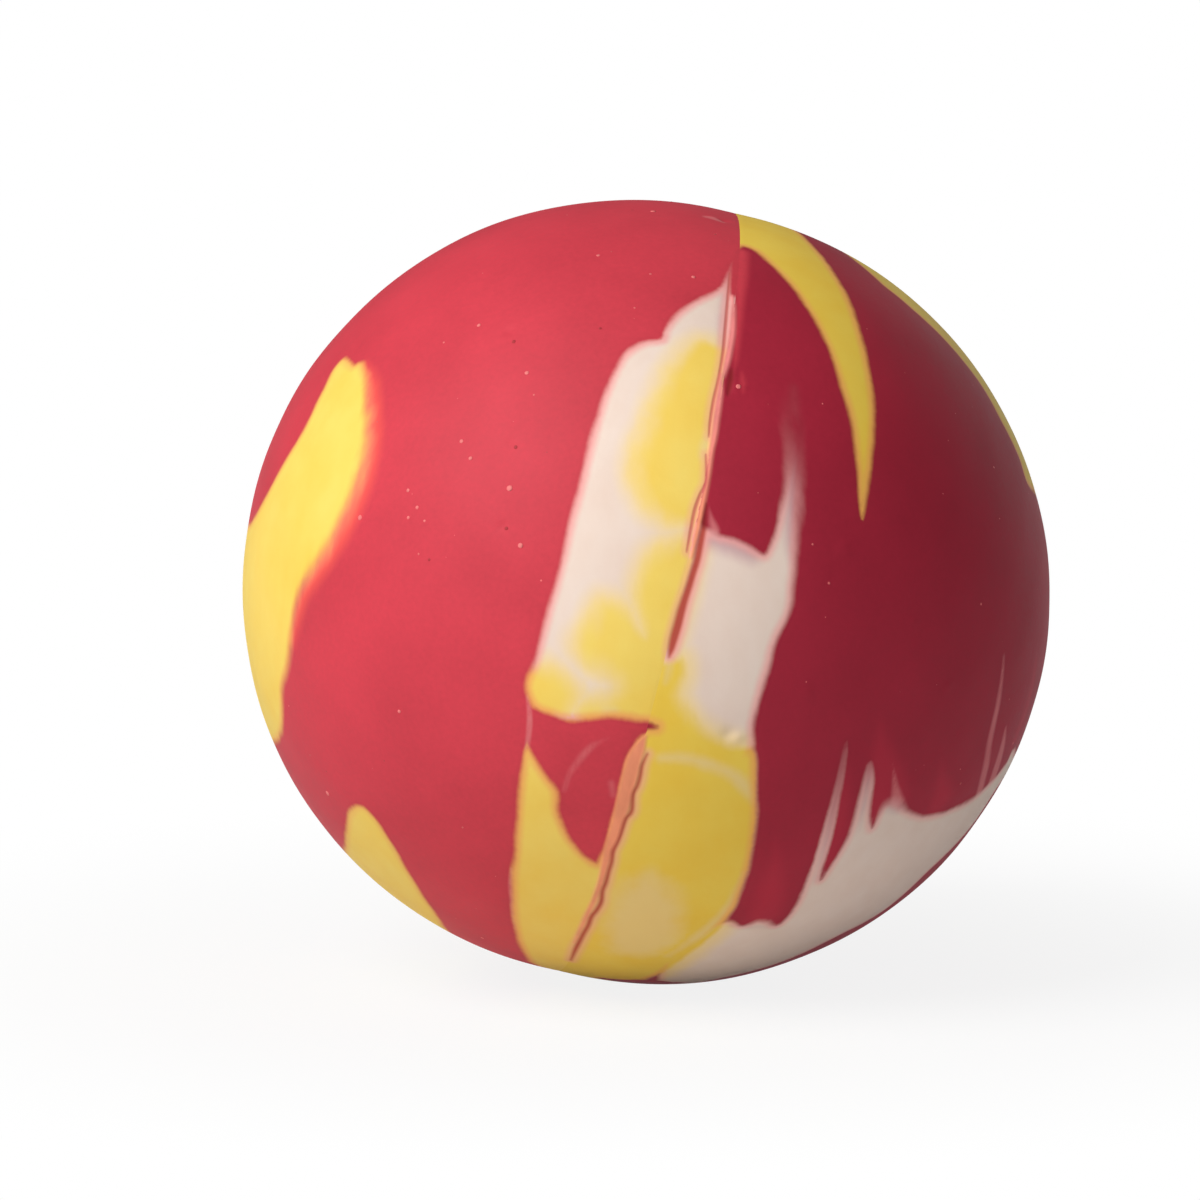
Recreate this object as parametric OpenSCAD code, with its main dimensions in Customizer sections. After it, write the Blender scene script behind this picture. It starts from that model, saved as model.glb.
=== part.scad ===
/* [Ball] */
// Diameter of each half ball, measured along the parting line
cavity_d = 31; // [20:0.5:60]
// Width of the straight belt between the two half balls
belt_w = 1.2; // [0.4:0.1:2]

/* [Colour stretches] */
// Depth to which the yellow and white rubber reaches
streak_depth = 3.5; // [1.5:0.25:5]
// Depth of the thin veils and clouds within a stretch
cloud_depth = 1.5; // [0.5:0.25:3]

/* [Parting line] */
// Width of the strips of flash pressed out between the halves
flash_w = 0.42; // [0.3:0.02:0.6]
// Depth of the strips of flash
flash_depth = 0.9; // [0.6:0.1:1.5]
// Width of the open slits
slit_w = 0.26; // [0.2:0.02:0.32]
// Width of the closed hairlines beside the flash
hairline_w = 0.14; // [0.1:0.02:0.18]
// Depth of the open slits
slit_depth = 0.3; // [0.15:0.05:0.5]

/* [Position] */
// Tilt of the parting line, seen from the front
parting_tilt = 13; // [0:0.5:25]
// Turn of the parting line about the upright axis
parting_turn = 5; // [0:0.5:10]
// Lean of the ball away from the front view
front_lean = 10; // [0:1:20]

/* [Hidden] */
$fn = 96;

// Each half of the mould has a side, and each half of the surface a face
LEFT = -1;
RIGHT = 1;
FRONT = -1;
REAR = 1;

cavity_r = cavity_d / 2;
belt_share = belt_w / cavity_d;
// Anything that has to pass the skin of the ball reaches this far
past_r = cavity_d + belt_w;
// Axis of the mould, at right angles to the parting line: right, away, up
mould_axis = [cos(parting_tilt) * cos(parting_turn),
              cos(parting_tilt) * sin(parting_turn),
              -sin(parting_tilt)];
// Turn from the top towards the rear at which each revolved skin starts, clear of all outlines
start_turn = 37;
// Straight runs to each stretch of an outline between two of its points
curve_steps = 4;
// Width of a strip or slit at its tips, where it runs out, against its full width
tip_share = 0.35;

// Outlines below are drawn as the ball is seen from the front. Each point is right and up
// from the centre, as shares of the half ball's radius, and is laid on the front or rear face.
streak_front_shares = [[-0.93, 0.36], [-0.84, 0.50], [-0.77, 0.60], [-0.72, 0.55], [-0.71, 0.42],
                       [-0.75, 0.26], [-0.82, 0.12], [-0.89, -0.02], [-0.92, -0.16], [-0.94, -0.30],
                       [-0.97, -0.40]];
streak_rear_shares = [[-0.95, -0.30], [-0.90, -0.12], [-0.90, 0.06], [-0.96, 0.20]];
wedge_front_shares = [[-0.78, -0.64], [-0.75, -0.55], [-0.71, -0.56], [-0.65, -0.63],
                      [-0.60, -0.73], [-0.53, -0.85]];
wedge_rear_shares = [[-0.44, -0.87], [-0.40, -0.78], [-0.54, -0.66], [-0.68, -0.62]];
band_shares = [[0.22, 0.84], [0.26, 0.66], [0.24, 0.44], [0.20, 0.20], [0.15, -0.04], [0.10, -0.24],
               [0.04, -0.34], [-0.12, -0.33], [-0.26, -0.31], [-0.30, -0.22], [-0.27, -0.10],
               [-0.22, 0.07], [-0.17, 0.26], [-0.13, 0.43], [-0.06, 0.58], [0.04, 0.66], [0.14, 0.75]];
upper_cloud_shares = [[0.14, 0.64], [0.22, 0.56], [0.21, 0.36], [0.17, 0.20], [0.09, 0.17],
                      [0.02, 0.20], [-0.03, 0.32], [0.00, 0.43], [0.06, 0.54]];
lower_cloud_shares = [[0.10, 0.14], [0.18, 0.12], [0.16, -0.08], [0.11, -0.30], [0.04, -0.38],
                      [-0.12, -0.37], [-0.26, -0.36], [-0.33, -0.25], [-0.20, -0.24], [-0.11, -0.20],
                      [-0.16, -0.12], [-0.12, -0.06], [-0.04, -0.11], [-0.01, 0.04], [0.04, 0.11]];
flap_shares = [[-0.30, -0.31], [-0.20, -0.31], [-0.08, -0.32], [0.03, -0.34], [-0.02, -0.41],
               [-0.07, -0.50], [-0.10, -0.60], [-0.13, -0.69], [-0.21, -0.61], [-0.25, -0.50],
               [-0.31, -0.40]];
tail_front_shares = [[-0.31, -0.38], [-0.33, -0.56], [-0.34, -0.72], [-0.32, -0.86], [-0.25, -0.97]];
tail_rear_shares = [[-0.22, -0.94], [-0.10, -0.93]];
tail_seam_shares = [[0.00, -0.80], [0.08, -0.54], [0.07, -0.33], [-0.12, -0.34]];
crescent_front_shares = [[0.16, 0.97], [0.18, 0.90], [0.25, 0.88], [0.32, 0.83], [0.42, 0.70], [0.49, 0.53],
                         [0.53, 0.36], [0.56, 0.16], [0.59, 0.38], [0.57, 0.56], [0.52, 0.74],
                         [0.42, 0.90]];
crescent_rear_shares = [[0.34, 0.89], [0.20, 0.90]];
edge_front_shares = [[0.50, 0.86], [0.60, 0.79], [0.75, 0.67], [0.90, 0.46], [1.01, 0.26]];
edge_rear_shares = [[0.97, 0.20], [0.88, 0.36], [0.76, 0.50], [0.60, 0.62], [0.46, 0.76]];
right_band_shares = [[0.11, 0.20], [0.20, 0.13], [0.28, 0.11], [0.33, 0.15], [0.36, 0.28],
                     [0.38, 0.50], [0.41, 0.34], [0.40, 0.12], [0.38, 0.00], [0.34, -0.14],
                     [0.29, -0.28], [0.27, -0.42], [0.12, -0.42], [-0.02, -0.30], [0.02, -0.06]];
lobe_front_shares = [[-0.06, -0.16], [0.05, -0.15], [0.09, -0.19], [0.10, -0.26], [0.16, -0.34],
                     [0.26, -0.38], [0.28, -0.48], [0.28, -0.60], [0.26, -0.72], [0.20, -0.84],
                     [0.09, -0.94], [-0.04, -0.99]];
lobe_rear_shares = [[-0.12, -0.97], [-0.30, -0.93]];
lobe_seam_shares = [[-0.30, -0.88], [-0.20, -0.62], [-0.10, -0.36]];
vein_shares = [[0.168, 0.27], [0.152, 0.15], [0.124, 0.01], [0.095, -0.09], [0.060, -0.175],
               [0.00, -0.16], [0.04, 0.02], [0.08, 0.16], [0.10, 0.27]];
veil_shares = [[0.01, -0.73], [0.08, -0.76], [0.10, -0.82], [0.05, -0.90], [-0.05, -0.93],
               [-0.11, -0.91], [-0.08, -0.84], [-0.04, -0.77]];
wisp_shares = [[0.04, -0.42], [0.13, -0.42], [0.22, -0.45], [0.27, -0.53], [0.19, -0.50],
               [0.11, -0.46], [0.05, -0.45]];
patch_shares = [[0.06, -0.98], [0.13, -0.94], [0.23, -0.87], [0.36, -0.83], [0.43, -0.72],
                [0.47, -0.56], [0.51, -0.39], [0.50, -0.56], [0.48, -0.68], [0.53, -0.56],
                [0.57, -0.43], [0.58, -0.53], [0.60, -0.59], [0.66, -0.54], [0.78, -0.55],
                [0.86, -0.46], [0.90, -0.30], [0.93, -0.42], [0.84, -0.60], [0.72, -0.73],
                [0.58, -0.84], [0.42, -0.92], [0.22, -0.98]];
left_rear_band_shares = [[-0.44, 0.70], [-0.32, 0.60], [-0.28, 0.36], [-0.38, 0.10], [-0.40, -0.16],
                         [-0.34, -0.42], [-0.45, -0.56], [-0.58, -0.36], [-0.65, -0.06],
                         [-0.61, 0.26], [-0.56, 0.50]];
left_rear_cloud_shares = [[-0.44, 0.30], [-0.37, 0.14], [-0.40, -0.06], [-0.42, -0.28],
                          [-0.52, -0.22], [-0.53, 0.04], [-0.50, 0.22]];
left_rear_streak_shares = [[0.04, 0.66], [0.20, 0.50], [0.12, 0.20], [-0.04, -0.02], [-0.17, -0.12],
                           [-0.16, 0.10], [-0.08, 0.38]];
right_rear_band_shares = [[0.26, 0.56], [0.42, 0.44], [0.52, 0.14], [0.47, -0.18], [0.31, -0.46],
                          [0.21, -0.36], [0.30, -0.12], [0.33, 0.14], [0.24, 0.38]];
right_rear_streak_shares = [[0.69, 0.16], [0.78, -0.04], [0.75, -0.34], [0.62, -0.58], [0.47, -0.70],
                            [0.55, -0.46], [0.64, -0.20], [0.64, 0.02]];
right_rear_lobe_shares = [[-0.14, 0.06], [0.02, 0.10], [0.12, -0.04], [0.10, -0.30], [-0.04, -0.58],
                          [-0.24, -0.76], [-0.36, -0.66], [-0.26, -0.30]];

// Middle lines of the flash strips and slits, drawn in the same way
upper_flash_shares = [[0.217, 0.770], [0.215, 0.660], [0.202, 0.565]];
middle_flash_shares = [[0.192, 0.530], [0.176, 0.400], [0.146, 0.250], [0.118, 0.120]];
lower_flash_shares = [[0.000, -0.375], [-0.034, -0.460], [-0.048, -0.550], [-0.084, -0.640],
                      [-0.112, -0.710]];
rear_flash_shares = [[0.055, 0.550], [-0.020, 0.280], [-0.095, 0.000], [-0.165, -0.300]];
top_hairline_shares = [[0.215, 0.810], [0.203, 0.690], [0.186, 0.550], [0.167, 0.470],
                       [0.159, 0.400]];
middle_hairline_shares = [[0.145, 0.330], [0.132, 0.250], [0.105, 0.110]];
zigzag_slit_shares = [[0.006, -0.400], [-0.016, -0.440], [-0.018, -0.475], [-0.034, -0.520],
                      [-0.038, -0.565], [-0.066, -0.600], [-0.092, -0.685], [-0.122, -0.805],
                      [-0.156, -0.860], [-0.194, -0.950]];
rear_slit_shares = [[0.037, 0.360], [-0.040, 0.080], [-0.108, -0.140], [-0.178, -0.440]];

// Direction of a drawn point from the middle of the ball
function lifted(p, side, face) =
    let (
        middle = side * belt_share * mould_axis,
        out = [p.x - middle.x, p.y - middle.z],
        deep = sqrt(max(0, 1 - out * out))
    )
    [p.x, middle.y + face * deep, p.y];
function laid(shares, side, face) = [for (p = shares) lifted(p, side, face)];

// Closed curve through the points, each stretch bent by its neighbours
function bend(a, b, c, d, t) =
    b + (c - a) * t / 2 + (2 * a - 5 * b + 4 * c - d) * t * t / 2
    + (3 * b - a - 3 * c + d) * t * t * t / 2;
function rounded(points) =
    let (n = len(points))
    [for (i = [0 : n - 1], s = [0 : curve_steps - 1])
        bend(points[(i + n - 1) % n], points[i], points[(i + 1) % n], points[(i + 2) % n],
             s / curve_steps)];

// Outline of a strip along a middle line, full in the middle and drawn out at both ends
function along(points, i) = (points[min(i + 1, len(points) - 1)] - points[max(i - 1, 0)]);
function across(points, i) =
    let (run = along(points, i))
    [run.y, -run.x] / norm(run);
function swell(i, n) = tip_share + (1 - tip_share) * sin(180 * i / (n - 1));
function strip(points, w) =
    let (n = len(points), half_share = w / cavity_d)
    concat([for (i = [0 : n - 1]) points[i] + across(points, i) * half_share * swell(i, n)],
           [for (i = [n - 1 : -1 : 0]) points[i] - across(points, i) * half_share * swell(i, n)]);

// Mean of a list of directions
function total(v, i = 0) = i < len(v) ? v[i] + total(v, i + 1) : [0, 0, 0];
function mean(v) = total(v) / norm(total(v));

// Everything outwards of an outline on the skin, square to its middle
module prism(outline) {
    axis = mean(outline);
    lean = acos(axis.z);
    turn = atan2(axis.y, axis.x);
    right = [cos(lean) * cos(turn), cos(lean) * sin(turn), -sin(lean)];
    up = [-sin(turn), cos(turn), 0];
    rotate([0, lean, turn]) linear_extrude(height = past_r)
        polygon([for (p = outline) [p * right, p * up] * cavity_r]);
}

// Turns the children so that their upright axis becomes the axis of the mould
module in_mould(side) {
    rotate([0, parting_tilt, parting_turn]) rotate([0, side * 90, 0])
        rotate([0, 0, side < 0 ? start_turn : 180 - start_turn]) children();
}

// All that lies deeper under the skin than a depth
module core(depth) {
    in_mould(RIGHT) sphere(r = cavity_r - depth);
}
module to_depth(depth) {
    difference() {
        union() children();
        core(depth);
    }
}

// Section of a ball of one side, as its cavity leaves it: half a ball and half of the belt
module half_section() {
    square([cavity_r, belt_w / 2]);
    translate([0, belt_w / 2]) intersection() {
        circle(r = cavity_r);
        square(cavity_r);
    }
}
module half_ball(side) {
    in_mould(side) rotate_extrude() half_section();
}
module whole_ball() {
    in_mould(RIGHT) rotate_extrude() {
        half_section();
        mirror([0, 1]) half_section();
    }
}

// The ball as it lies before the viewer
module placed() {
    rotate([-front_lean, 0, 0]) children();
}

// Prism over each stretch of colour
module streak_prism() {
    prism(rounded(concat(laid(streak_front_shares, LEFT, FRONT),
                         laid(streak_rear_shares, LEFT, REAR))));
}
module wedge_prism() {
    prism(rounded(concat(laid(wedge_front_shares, LEFT, FRONT),
                         laid(wedge_rear_shares, LEFT, REAR))));
}
module band_prism() {
    prism(rounded(laid(band_shares, LEFT, FRONT)));
}
module upper_cloud_prism() {
    prism(rounded(laid(upper_cloud_shares, LEFT, FRONT)));
}
module lower_cloud_prism() {
    prism(rounded(laid(lower_cloud_shares, LEFT, FRONT)));
}
module flap_prism() {
    prism(rounded(laid(flap_shares, LEFT, FRONT)));
}
module tail_prism() {
    prism(rounded(concat(laid(tail_front_shares, LEFT, FRONT),
                         laid(tail_rear_shares, LEFT, REAR),
                         laid(tail_seam_shares, LEFT, FRONT))));
}
module left_rear_band_prism() {
    prism(rounded(laid(left_rear_band_shares, LEFT, REAR)));
}
module left_rear_cloud_prism() {
    prism(rounded(laid(left_rear_cloud_shares, LEFT, REAR)));
}
module left_rear_streak_prism() {
    prism(rounded(laid(left_rear_streak_shares, LEFT, REAR)));
}
module crescent_prism() {
    prism(rounded(concat(laid(crescent_front_shares, RIGHT, FRONT),
                         laid(crescent_rear_shares, RIGHT, REAR))));
}
module edge_prism() {
    prism(rounded(concat(laid(edge_front_shares, RIGHT, FRONT),
                         laid(edge_rear_shares, RIGHT, REAR))));
}
module right_band_prism() {
    prism(rounded(laid(right_band_shares, RIGHT, FRONT)));
}
module lobe_prism() {
    prism(rounded(concat(laid(lobe_front_shares, RIGHT, FRONT),
                         laid(lobe_rear_shares, RIGHT, REAR),
                         laid(lobe_seam_shares, RIGHT, FRONT))));
}
module veil_prism() {
    prism(rounded(laid(veil_shares, RIGHT, FRONT)));
}
module wisp_prism() {
    prism(rounded(laid(wisp_shares, RIGHT, FRONT)));
}
module patch_prism() {
    prism(rounded(laid(patch_shares, RIGHT, FRONT)));
}
module right_rear_band_prism() {
    prism(rounded(laid(right_rear_band_shares, RIGHT, REAR)));
}
module right_rear_streak_prism() {
    prism(rounded(laid(right_rear_streak_shares, RIGHT, REAR)));
}
module right_rear_lobe_prism() {
    prism(rounded(laid(right_rear_lobe_shares, RIGHT, REAR)));
}

// Thin blade of the right body that comes up through its white band
module vein_prism() {
    prism(laid(vein_shares, RIGHT, FRONT));
}

// Prisms over the strips of flash
module upper_flash_prism() {
    prism(laid(strip(upper_flash_shares, flash_w), RIGHT, FRONT));
}
module middle_flash_prism() {
    prism(laid(strip(middle_flash_shares, flash_w), RIGHT, FRONT));
}
module lower_flash_prism() {
    prism(laid(strip(lower_flash_shares, flash_w), LEFT, FRONT));
}
module rear_flash_prism() {
    prism(laid(strip(rear_flash_shares, flash_w), RIGHT, REAR));
}

// Cuts of the parting line: the beds of the flash, and the open slits
module front_flash_beds() {
    to_depth(flash_depth) {
        upper_flash_prism();
        middle_flash_prism();
        lower_flash_prism();
    }
}
module rear_flash_bed() {
    to_depth(flash_depth) rear_flash_prism();
}
module front_slits() {
    to_depth(slit_depth) {
        for (line = [top_hairline_shares, middle_hairline_shares])
            prism(laid(strip(line, hairline_w), LEFT, FRONT));
        prism(laid(strip(zigzag_slit_shares, slit_w), LEFT, FRONT));
    }
}
module rear_slit() {
    to_depth(slit_depth) prism(laid(strip(rear_slit_shares, slit_w), LEFT, REAR));
}

// One stretch of colour in its half ball. The first child is its prism, and any others are the
// cuts of what lies over it.
module inlay(side) {
    placed() difference() {
        intersection() {
            half_ball(side);
            children(0);
        }
        core(streak_depth);
        if ($children > 1) children([1 : $children - 1]);
    }
}

// A thin veil, cloud or flap, which lies over the stretches around it
module veil(side) {
    placed() difference() {
        intersection() {
            half_ball(side);
            children(0);
        }
        core(cloud_depth);
        if ($children > 1) children([1 : $children - 1]);
    }
}

// One strip of flash, which lies in both halves
module flash() {
    placed() difference() {
        intersection() {
            whole_ball();
            children(0);
        }
        core(flash_depth);
        children(1);
    }
}

module left_body() {
    color("crimson") placed() difference() {
        half_ball(LEFT);
        to_depth(streak_depth) {
            streak_prism();
            wedge_prism();
            band_prism();
            tail_prism();
            left_rear_band_prism();
            left_rear_streak_prism();
        }
        to_depth(cloud_depth) flap_prism();
        front_flash_beds();
        rear_flash_bed();
        front_slits();
        rear_slit();
    }
}
module left_yellow_streak() {
    color("gold") inlay(LEFT) streak_prism();
}
module left_yellow_wedge() {
    color("gold") inlay(LEFT) wedge_prism();
}
module left_white_band() {
    color("linen") inlay(LEFT) {
        band_prism();
        to_depth(cloud_depth) {
            upper_cloud_prism();
            lower_cloud_prism();
            flap_prism();
        }
        tail_prism();
        front_flash_beds();
        front_slits();
    }
}
module left_upper_cloud() {
    color("gold") veil(LEFT) {
        upper_cloud_prism();
        front_flash_beds();
        front_slits();
    }
}
module left_lower_cloud() {
    color("gold") veil(LEFT) {
        intersection() {
            lower_cloud_prism();
            band_prism();
        }
        upper_cloud_prism();
        flap_prism();
        tail_prism();
        front_flash_beds();
        front_slits();
    }
}
module left_red_flap() {
    color("crimson") veil(LEFT) {
        flap_prism();
        front_flash_beds();
        front_slits();
    }
}
module left_yellow_tail() {
    color("gold") inlay(LEFT) {
        tail_prism();
        to_depth(cloud_depth) flap_prism();
        front_flash_beds();
        front_slits();
    }
}
module left_rear_white_band() {
    color("linen") inlay(LEFT) {
        left_rear_band_prism();
        to_depth(cloud_depth) left_rear_cloud_prism();
        streak_prism();
        wedge_prism();
    }
}
module left_rear_yellow_cloud() {
    color("gold") veil(LEFT) intersection() {
        left_rear_cloud_prism();
        left_rear_band_prism();
    }
}
module left_rear_yellow_streak() {
    color("gold") inlay(LEFT) {
        left_rear_streak_prism();
        rear_flash_bed();
        rear_slit();
    }
}
module right_body() {
    color("firebrick") placed() difference() {
        half_ball(RIGHT);
        to_depth(streak_depth) {
            crescent_prism();
            edge_prism();
            difference() {
                union() {
                    right_band_prism();
                    lobe_prism();
                }
                vein_prism();
            }
            patch_prism();
            right_rear_band_prism();
            right_rear_streak_prism();
            right_rear_lobe_prism();
        }
        front_flash_beds();
        rear_flash_bed();
        front_slits();
        rear_slit();
    }
}
module right_yellow_crescent() {
    color("gold") inlay(RIGHT) crescent_prism();
}
module right_edge_streak() {
    color("gold") inlay(RIGHT) {
        edge_prism();
        crescent_prism();
    }
}
module right_white_band() {
    color("linen") inlay(RIGHT) {
        right_band_prism();
        lobe_prism();
        vein_prism();
        front_flash_beds();
        front_slits();
    }
}
module right_yellow_lobe() {
    color("gold") inlay(RIGHT) {
        lobe_prism();
        to_depth(cloud_depth) {
            veil_prism();
            wisp_prism();
        }
        vein_prism();
        front_flash_beds();
        front_slits();
    }
}
module right_lobe_veil() {
    color("wheat") veil(RIGHT) {
        veil_prism();
        front_slits();
    }
}
module right_lobe_wisp() {
    color("wheat") veil(RIGHT) wisp_prism();
}
module right_white_patch() {
    color("linen") inlay(RIGHT) {
        patch_prism();
        lobe_prism();
    }
}
module right_rear_white_band() {
    color("linen") inlay(RIGHT) right_rear_band_prism();
}
module right_rear_yellow_streak() {
    color("gold") inlay(RIGHT) right_rear_streak_prism();
}
module right_rear_yellow_lobe() {
    color("gold") inlay(RIGHT) {
        right_rear_lobe_prism();
        lobe_prism();
        rear_flash_bed();
        rear_slit();
    }
}
module upper_flash() {
    color("salmon") flash() {
        upper_flash_prism();
        front_slits();
    }
}
module middle_flash() {
    color("salmon") flash() {
        middle_flash_prism();
        front_slits();
    }
}
module lower_flash() {
    color("salmon") flash() {
        lower_flash_prism();
        front_slits();
    }
}
module rear_flash() {
    color("salmon") flash() {
        rear_flash_prism();
        rear_slit();
    }
}

left_body();
left_yellow_streak();
left_yellow_wedge();
left_white_band();
left_upper_cloud();
left_lower_cloud();
left_red_flap();
left_yellow_tail();
left_rear_white_band();
left_rear_yellow_cloud();
left_rear_yellow_streak();
right_body();
right_yellow_crescent();
right_edge_streak();
right_white_band();
right_yellow_lobe();
right_lobe_veil();
right_lobe_wisp();
right_white_patch();
right_rear_white_band();
right_rear_yellow_streak();
right_rear_yellow_lobe();
upper_flash();
middle_flash();
lower_flash();
rear_flash();
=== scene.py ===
import math

import bpy
import bmesh
import numpy as np
from bpy.props import FloatProperty, FloatVectorProperty, IntProperty, PointerProperty
from mathutils import Matrix, Vector
from mathutils.geometry import tessellate_polygon


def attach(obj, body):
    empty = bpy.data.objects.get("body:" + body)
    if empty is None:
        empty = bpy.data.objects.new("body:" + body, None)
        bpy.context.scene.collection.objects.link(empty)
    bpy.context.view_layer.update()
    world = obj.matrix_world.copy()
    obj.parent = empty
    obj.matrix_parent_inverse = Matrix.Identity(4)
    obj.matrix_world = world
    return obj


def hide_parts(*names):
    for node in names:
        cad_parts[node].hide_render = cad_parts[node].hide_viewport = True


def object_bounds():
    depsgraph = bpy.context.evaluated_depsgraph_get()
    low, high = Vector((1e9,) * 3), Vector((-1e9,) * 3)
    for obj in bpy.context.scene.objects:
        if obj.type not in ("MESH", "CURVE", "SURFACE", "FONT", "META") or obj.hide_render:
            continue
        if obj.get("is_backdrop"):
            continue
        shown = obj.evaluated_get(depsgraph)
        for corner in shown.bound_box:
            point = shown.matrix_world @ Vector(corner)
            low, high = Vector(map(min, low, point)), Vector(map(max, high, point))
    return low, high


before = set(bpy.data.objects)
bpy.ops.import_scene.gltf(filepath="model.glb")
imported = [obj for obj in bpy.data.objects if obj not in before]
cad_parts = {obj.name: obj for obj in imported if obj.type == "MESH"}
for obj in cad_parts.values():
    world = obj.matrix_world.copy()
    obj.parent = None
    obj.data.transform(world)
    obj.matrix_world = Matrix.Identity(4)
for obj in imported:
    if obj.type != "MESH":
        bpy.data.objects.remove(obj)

bl_info = {
    "name": "Marbled bouncy ball",
    "version": (1, 0, 0),
    "blender": (4, 5, 0),
    "location": "3D Viewport > Sidebar > Ball",
    "description": "Dresses a two-part moulded bouncy ball in marbled rubber",
    "category": "Object",
}

MM = 0.001
TINY = 1e-12

# Which half of the mould, and which face of the drawing, a point belongs to
LEFT, RIGHT = -1, 1
FRONT, REAR = -1, 1

# Drawing of the marbling: pixels in a frame of 1200 by 1200, as the ball is seen from the front
FRAME_PX = 1200
CENTRE_PX = (646, 592)
HALF_BALL_PX = 390
# Half the width of an outline's soft edge, of a line or of a fleck, where a row gives none
USUAL_PX = 3


def drawn(rows, face):
    """Rows of the drawing with their half width and their face."""
    return [(x, y, *(width or (USUAL_PX,)), face) for x, y, *width in rows]


def front(*rows):
    """Points on the face towards the viewer: across, down and half the width of the edge or line."""
    return drawn(rows, FRONT)


def rear(*rows):
    """Points on the face away from the viewer, drawn as if seen through the ball."""
    return drawn(rows, REAR)


# Outlines of the stretches in the left half
LEFT_STREAK_PX = (
    front((344, 359), (350, 363), (355, 366), (362, 364, 4), (368, 388, 8), (368, 441, 11),
          (357, 489, 12), (335, 536, 12), (312, 573, 11), (298, 600, 9), (290, 656, 8), (283, 684, 6),
          (279, 738, 4))
    + rear((300, 720, 5), (322, 660, 6), (326, 610, 7), (300, 560, 6), (268, 530, 4))
    + front((252, 520), (293, 449), (321, 396), (333, 371)))
LEFT_WEDGE_PX = (
    front((361, 805), (380, 824), (402, 861), (424, 897), (441, 922))
    + rear((474, 931, 4), (490, 896, 6), (435, 849, 7), (381, 834, 6))
    + front((344, 848), (346, 830), (350, 812)))
LEFT_BAND_PX = front(
    (748, 252, 2), (734, 262, 2), (727, 275, 2), (720, 288, 2.5), (710, 295), (697, 301), (683, 310),
    (671, 321), (664, 331, 2), (661, 341, 2), (650, 342, 2.5), (638, 346), (624, 356), (614, 372),
    (604, 396), (595, 425), (586, 460), (578, 494), (570, 521), (560, 566), (547, 613), (535, 660),
    (528, 676), (526, 688), (530, 700), (538, 712), (560, 732), (594, 738), (619, 738), (655, 738),
    (690, 740), (715, 650), (728, 590), (742, 520), (756, 450), (766, 380), (768, 310))
LEFT_UPPER_CLOUD_PX = front(
    (701, 343, 5), (714, 347, 5), (735, 360, 5), (735, 430, 5), (716, 510, 5), (702, 532, 6),
    (683, 525, 8), (668, 522, 9), (653, 511, 10), (642, 497, 11), (635, 480, 12), (635, 464, 13),
    (641, 446, 13), (648, 429, 13), (656, 408, 12), (663, 390, 11), (671, 375, 9), (683, 360, 7),
    (692, 349, 6))
LEFT_LOWER_CLOUD_PX = front(
    (692, 532, 8), (676, 541, 10), (660, 549, 11), (648, 560, 11), (641, 575, 10), (638, 592, 9),
    (640, 609, 7), (644, 624, 6), (645, 638, 5), (637, 630, 6), (627, 616, 8), (616, 605, 9),
    (603, 603, 10), (597, 612, 11), (590, 625, 12), (582, 637, 12), (580, 648, 12), (590, 660, 12),
    (605, 668, 12), (619, 680, 12), (618, 692, 11), (602, 702, 10), (580, 712, 8), (590, 735, 5),
    (650, 742, 4), (700, 735), (735, 600), (735, 545), (712, 530, 5))
LEFT_CORNER_CLOUD_PX = front(
    (522, 670, 6), (537, 667, 8), (552, 672, 10), (565, 682, 12), (572, 693, 12), (568, 705, 11),
    (556, 722, 8), (530, 722, 5), (518, 690, 5))
LEFT_FLAP_PX = front(
    (526, 706, 2.5), (545, 712, 2.5), (568, 719), (594, 718), (619, 717), (640, 720), (656, 722, 2.5),
    (654, 731), (642, 735), (634, 746), (627, 758), (622, 775), (618, 795), (613, 817), (607, 840),
    (601, 856), (596, 863, 2.5), (586, 856), (577, 847), (569, 836), (563, 824), (558, 811), (557, 791),
    (548, 778), (540, 766), (532, 752, 2.5), (524, 735))
LEFT_TAIL_PX = (
    front((527, 744, 2), (522, 766, 2.5), (518, 800), (515, 850), (512, 872), (512, 897), (514, 925),
          (519, 944), (526, 957), (536, 966))
    + rear((600, 965, 4), (640, 950, 5))
    + front((650, 920), (690, 830), (705, 740), (650, 724), (590, 726), (545, 726)))
LEFT_REAR_BAND_PX = rear(
    (474, 319, 14), (521, 358, 9), (537, 452, 4), (505, 553, 5), (490, 654, 4), (513, 756, 9),
    (471, 810, 14), (420, 732, 7), (393, 615), (408, 491), (428, 397, 6))
LEFT_REAR_CLOUD_PX = rear(
    (474, 475, 8), (502, 537, 10), (484, 615, 10), (482, 701, 9), (443, 678, 8), (439, 576, 9),
    (451, 506, 9))
LEFT_REAR_STREAK_PX = rear(
    (662, 335, 4), (724, 397, 4), (693, 514, 4), (630, 600, 4), (580, 639, 4), (578, 553, 9),
    (610, 444, 9))

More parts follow.
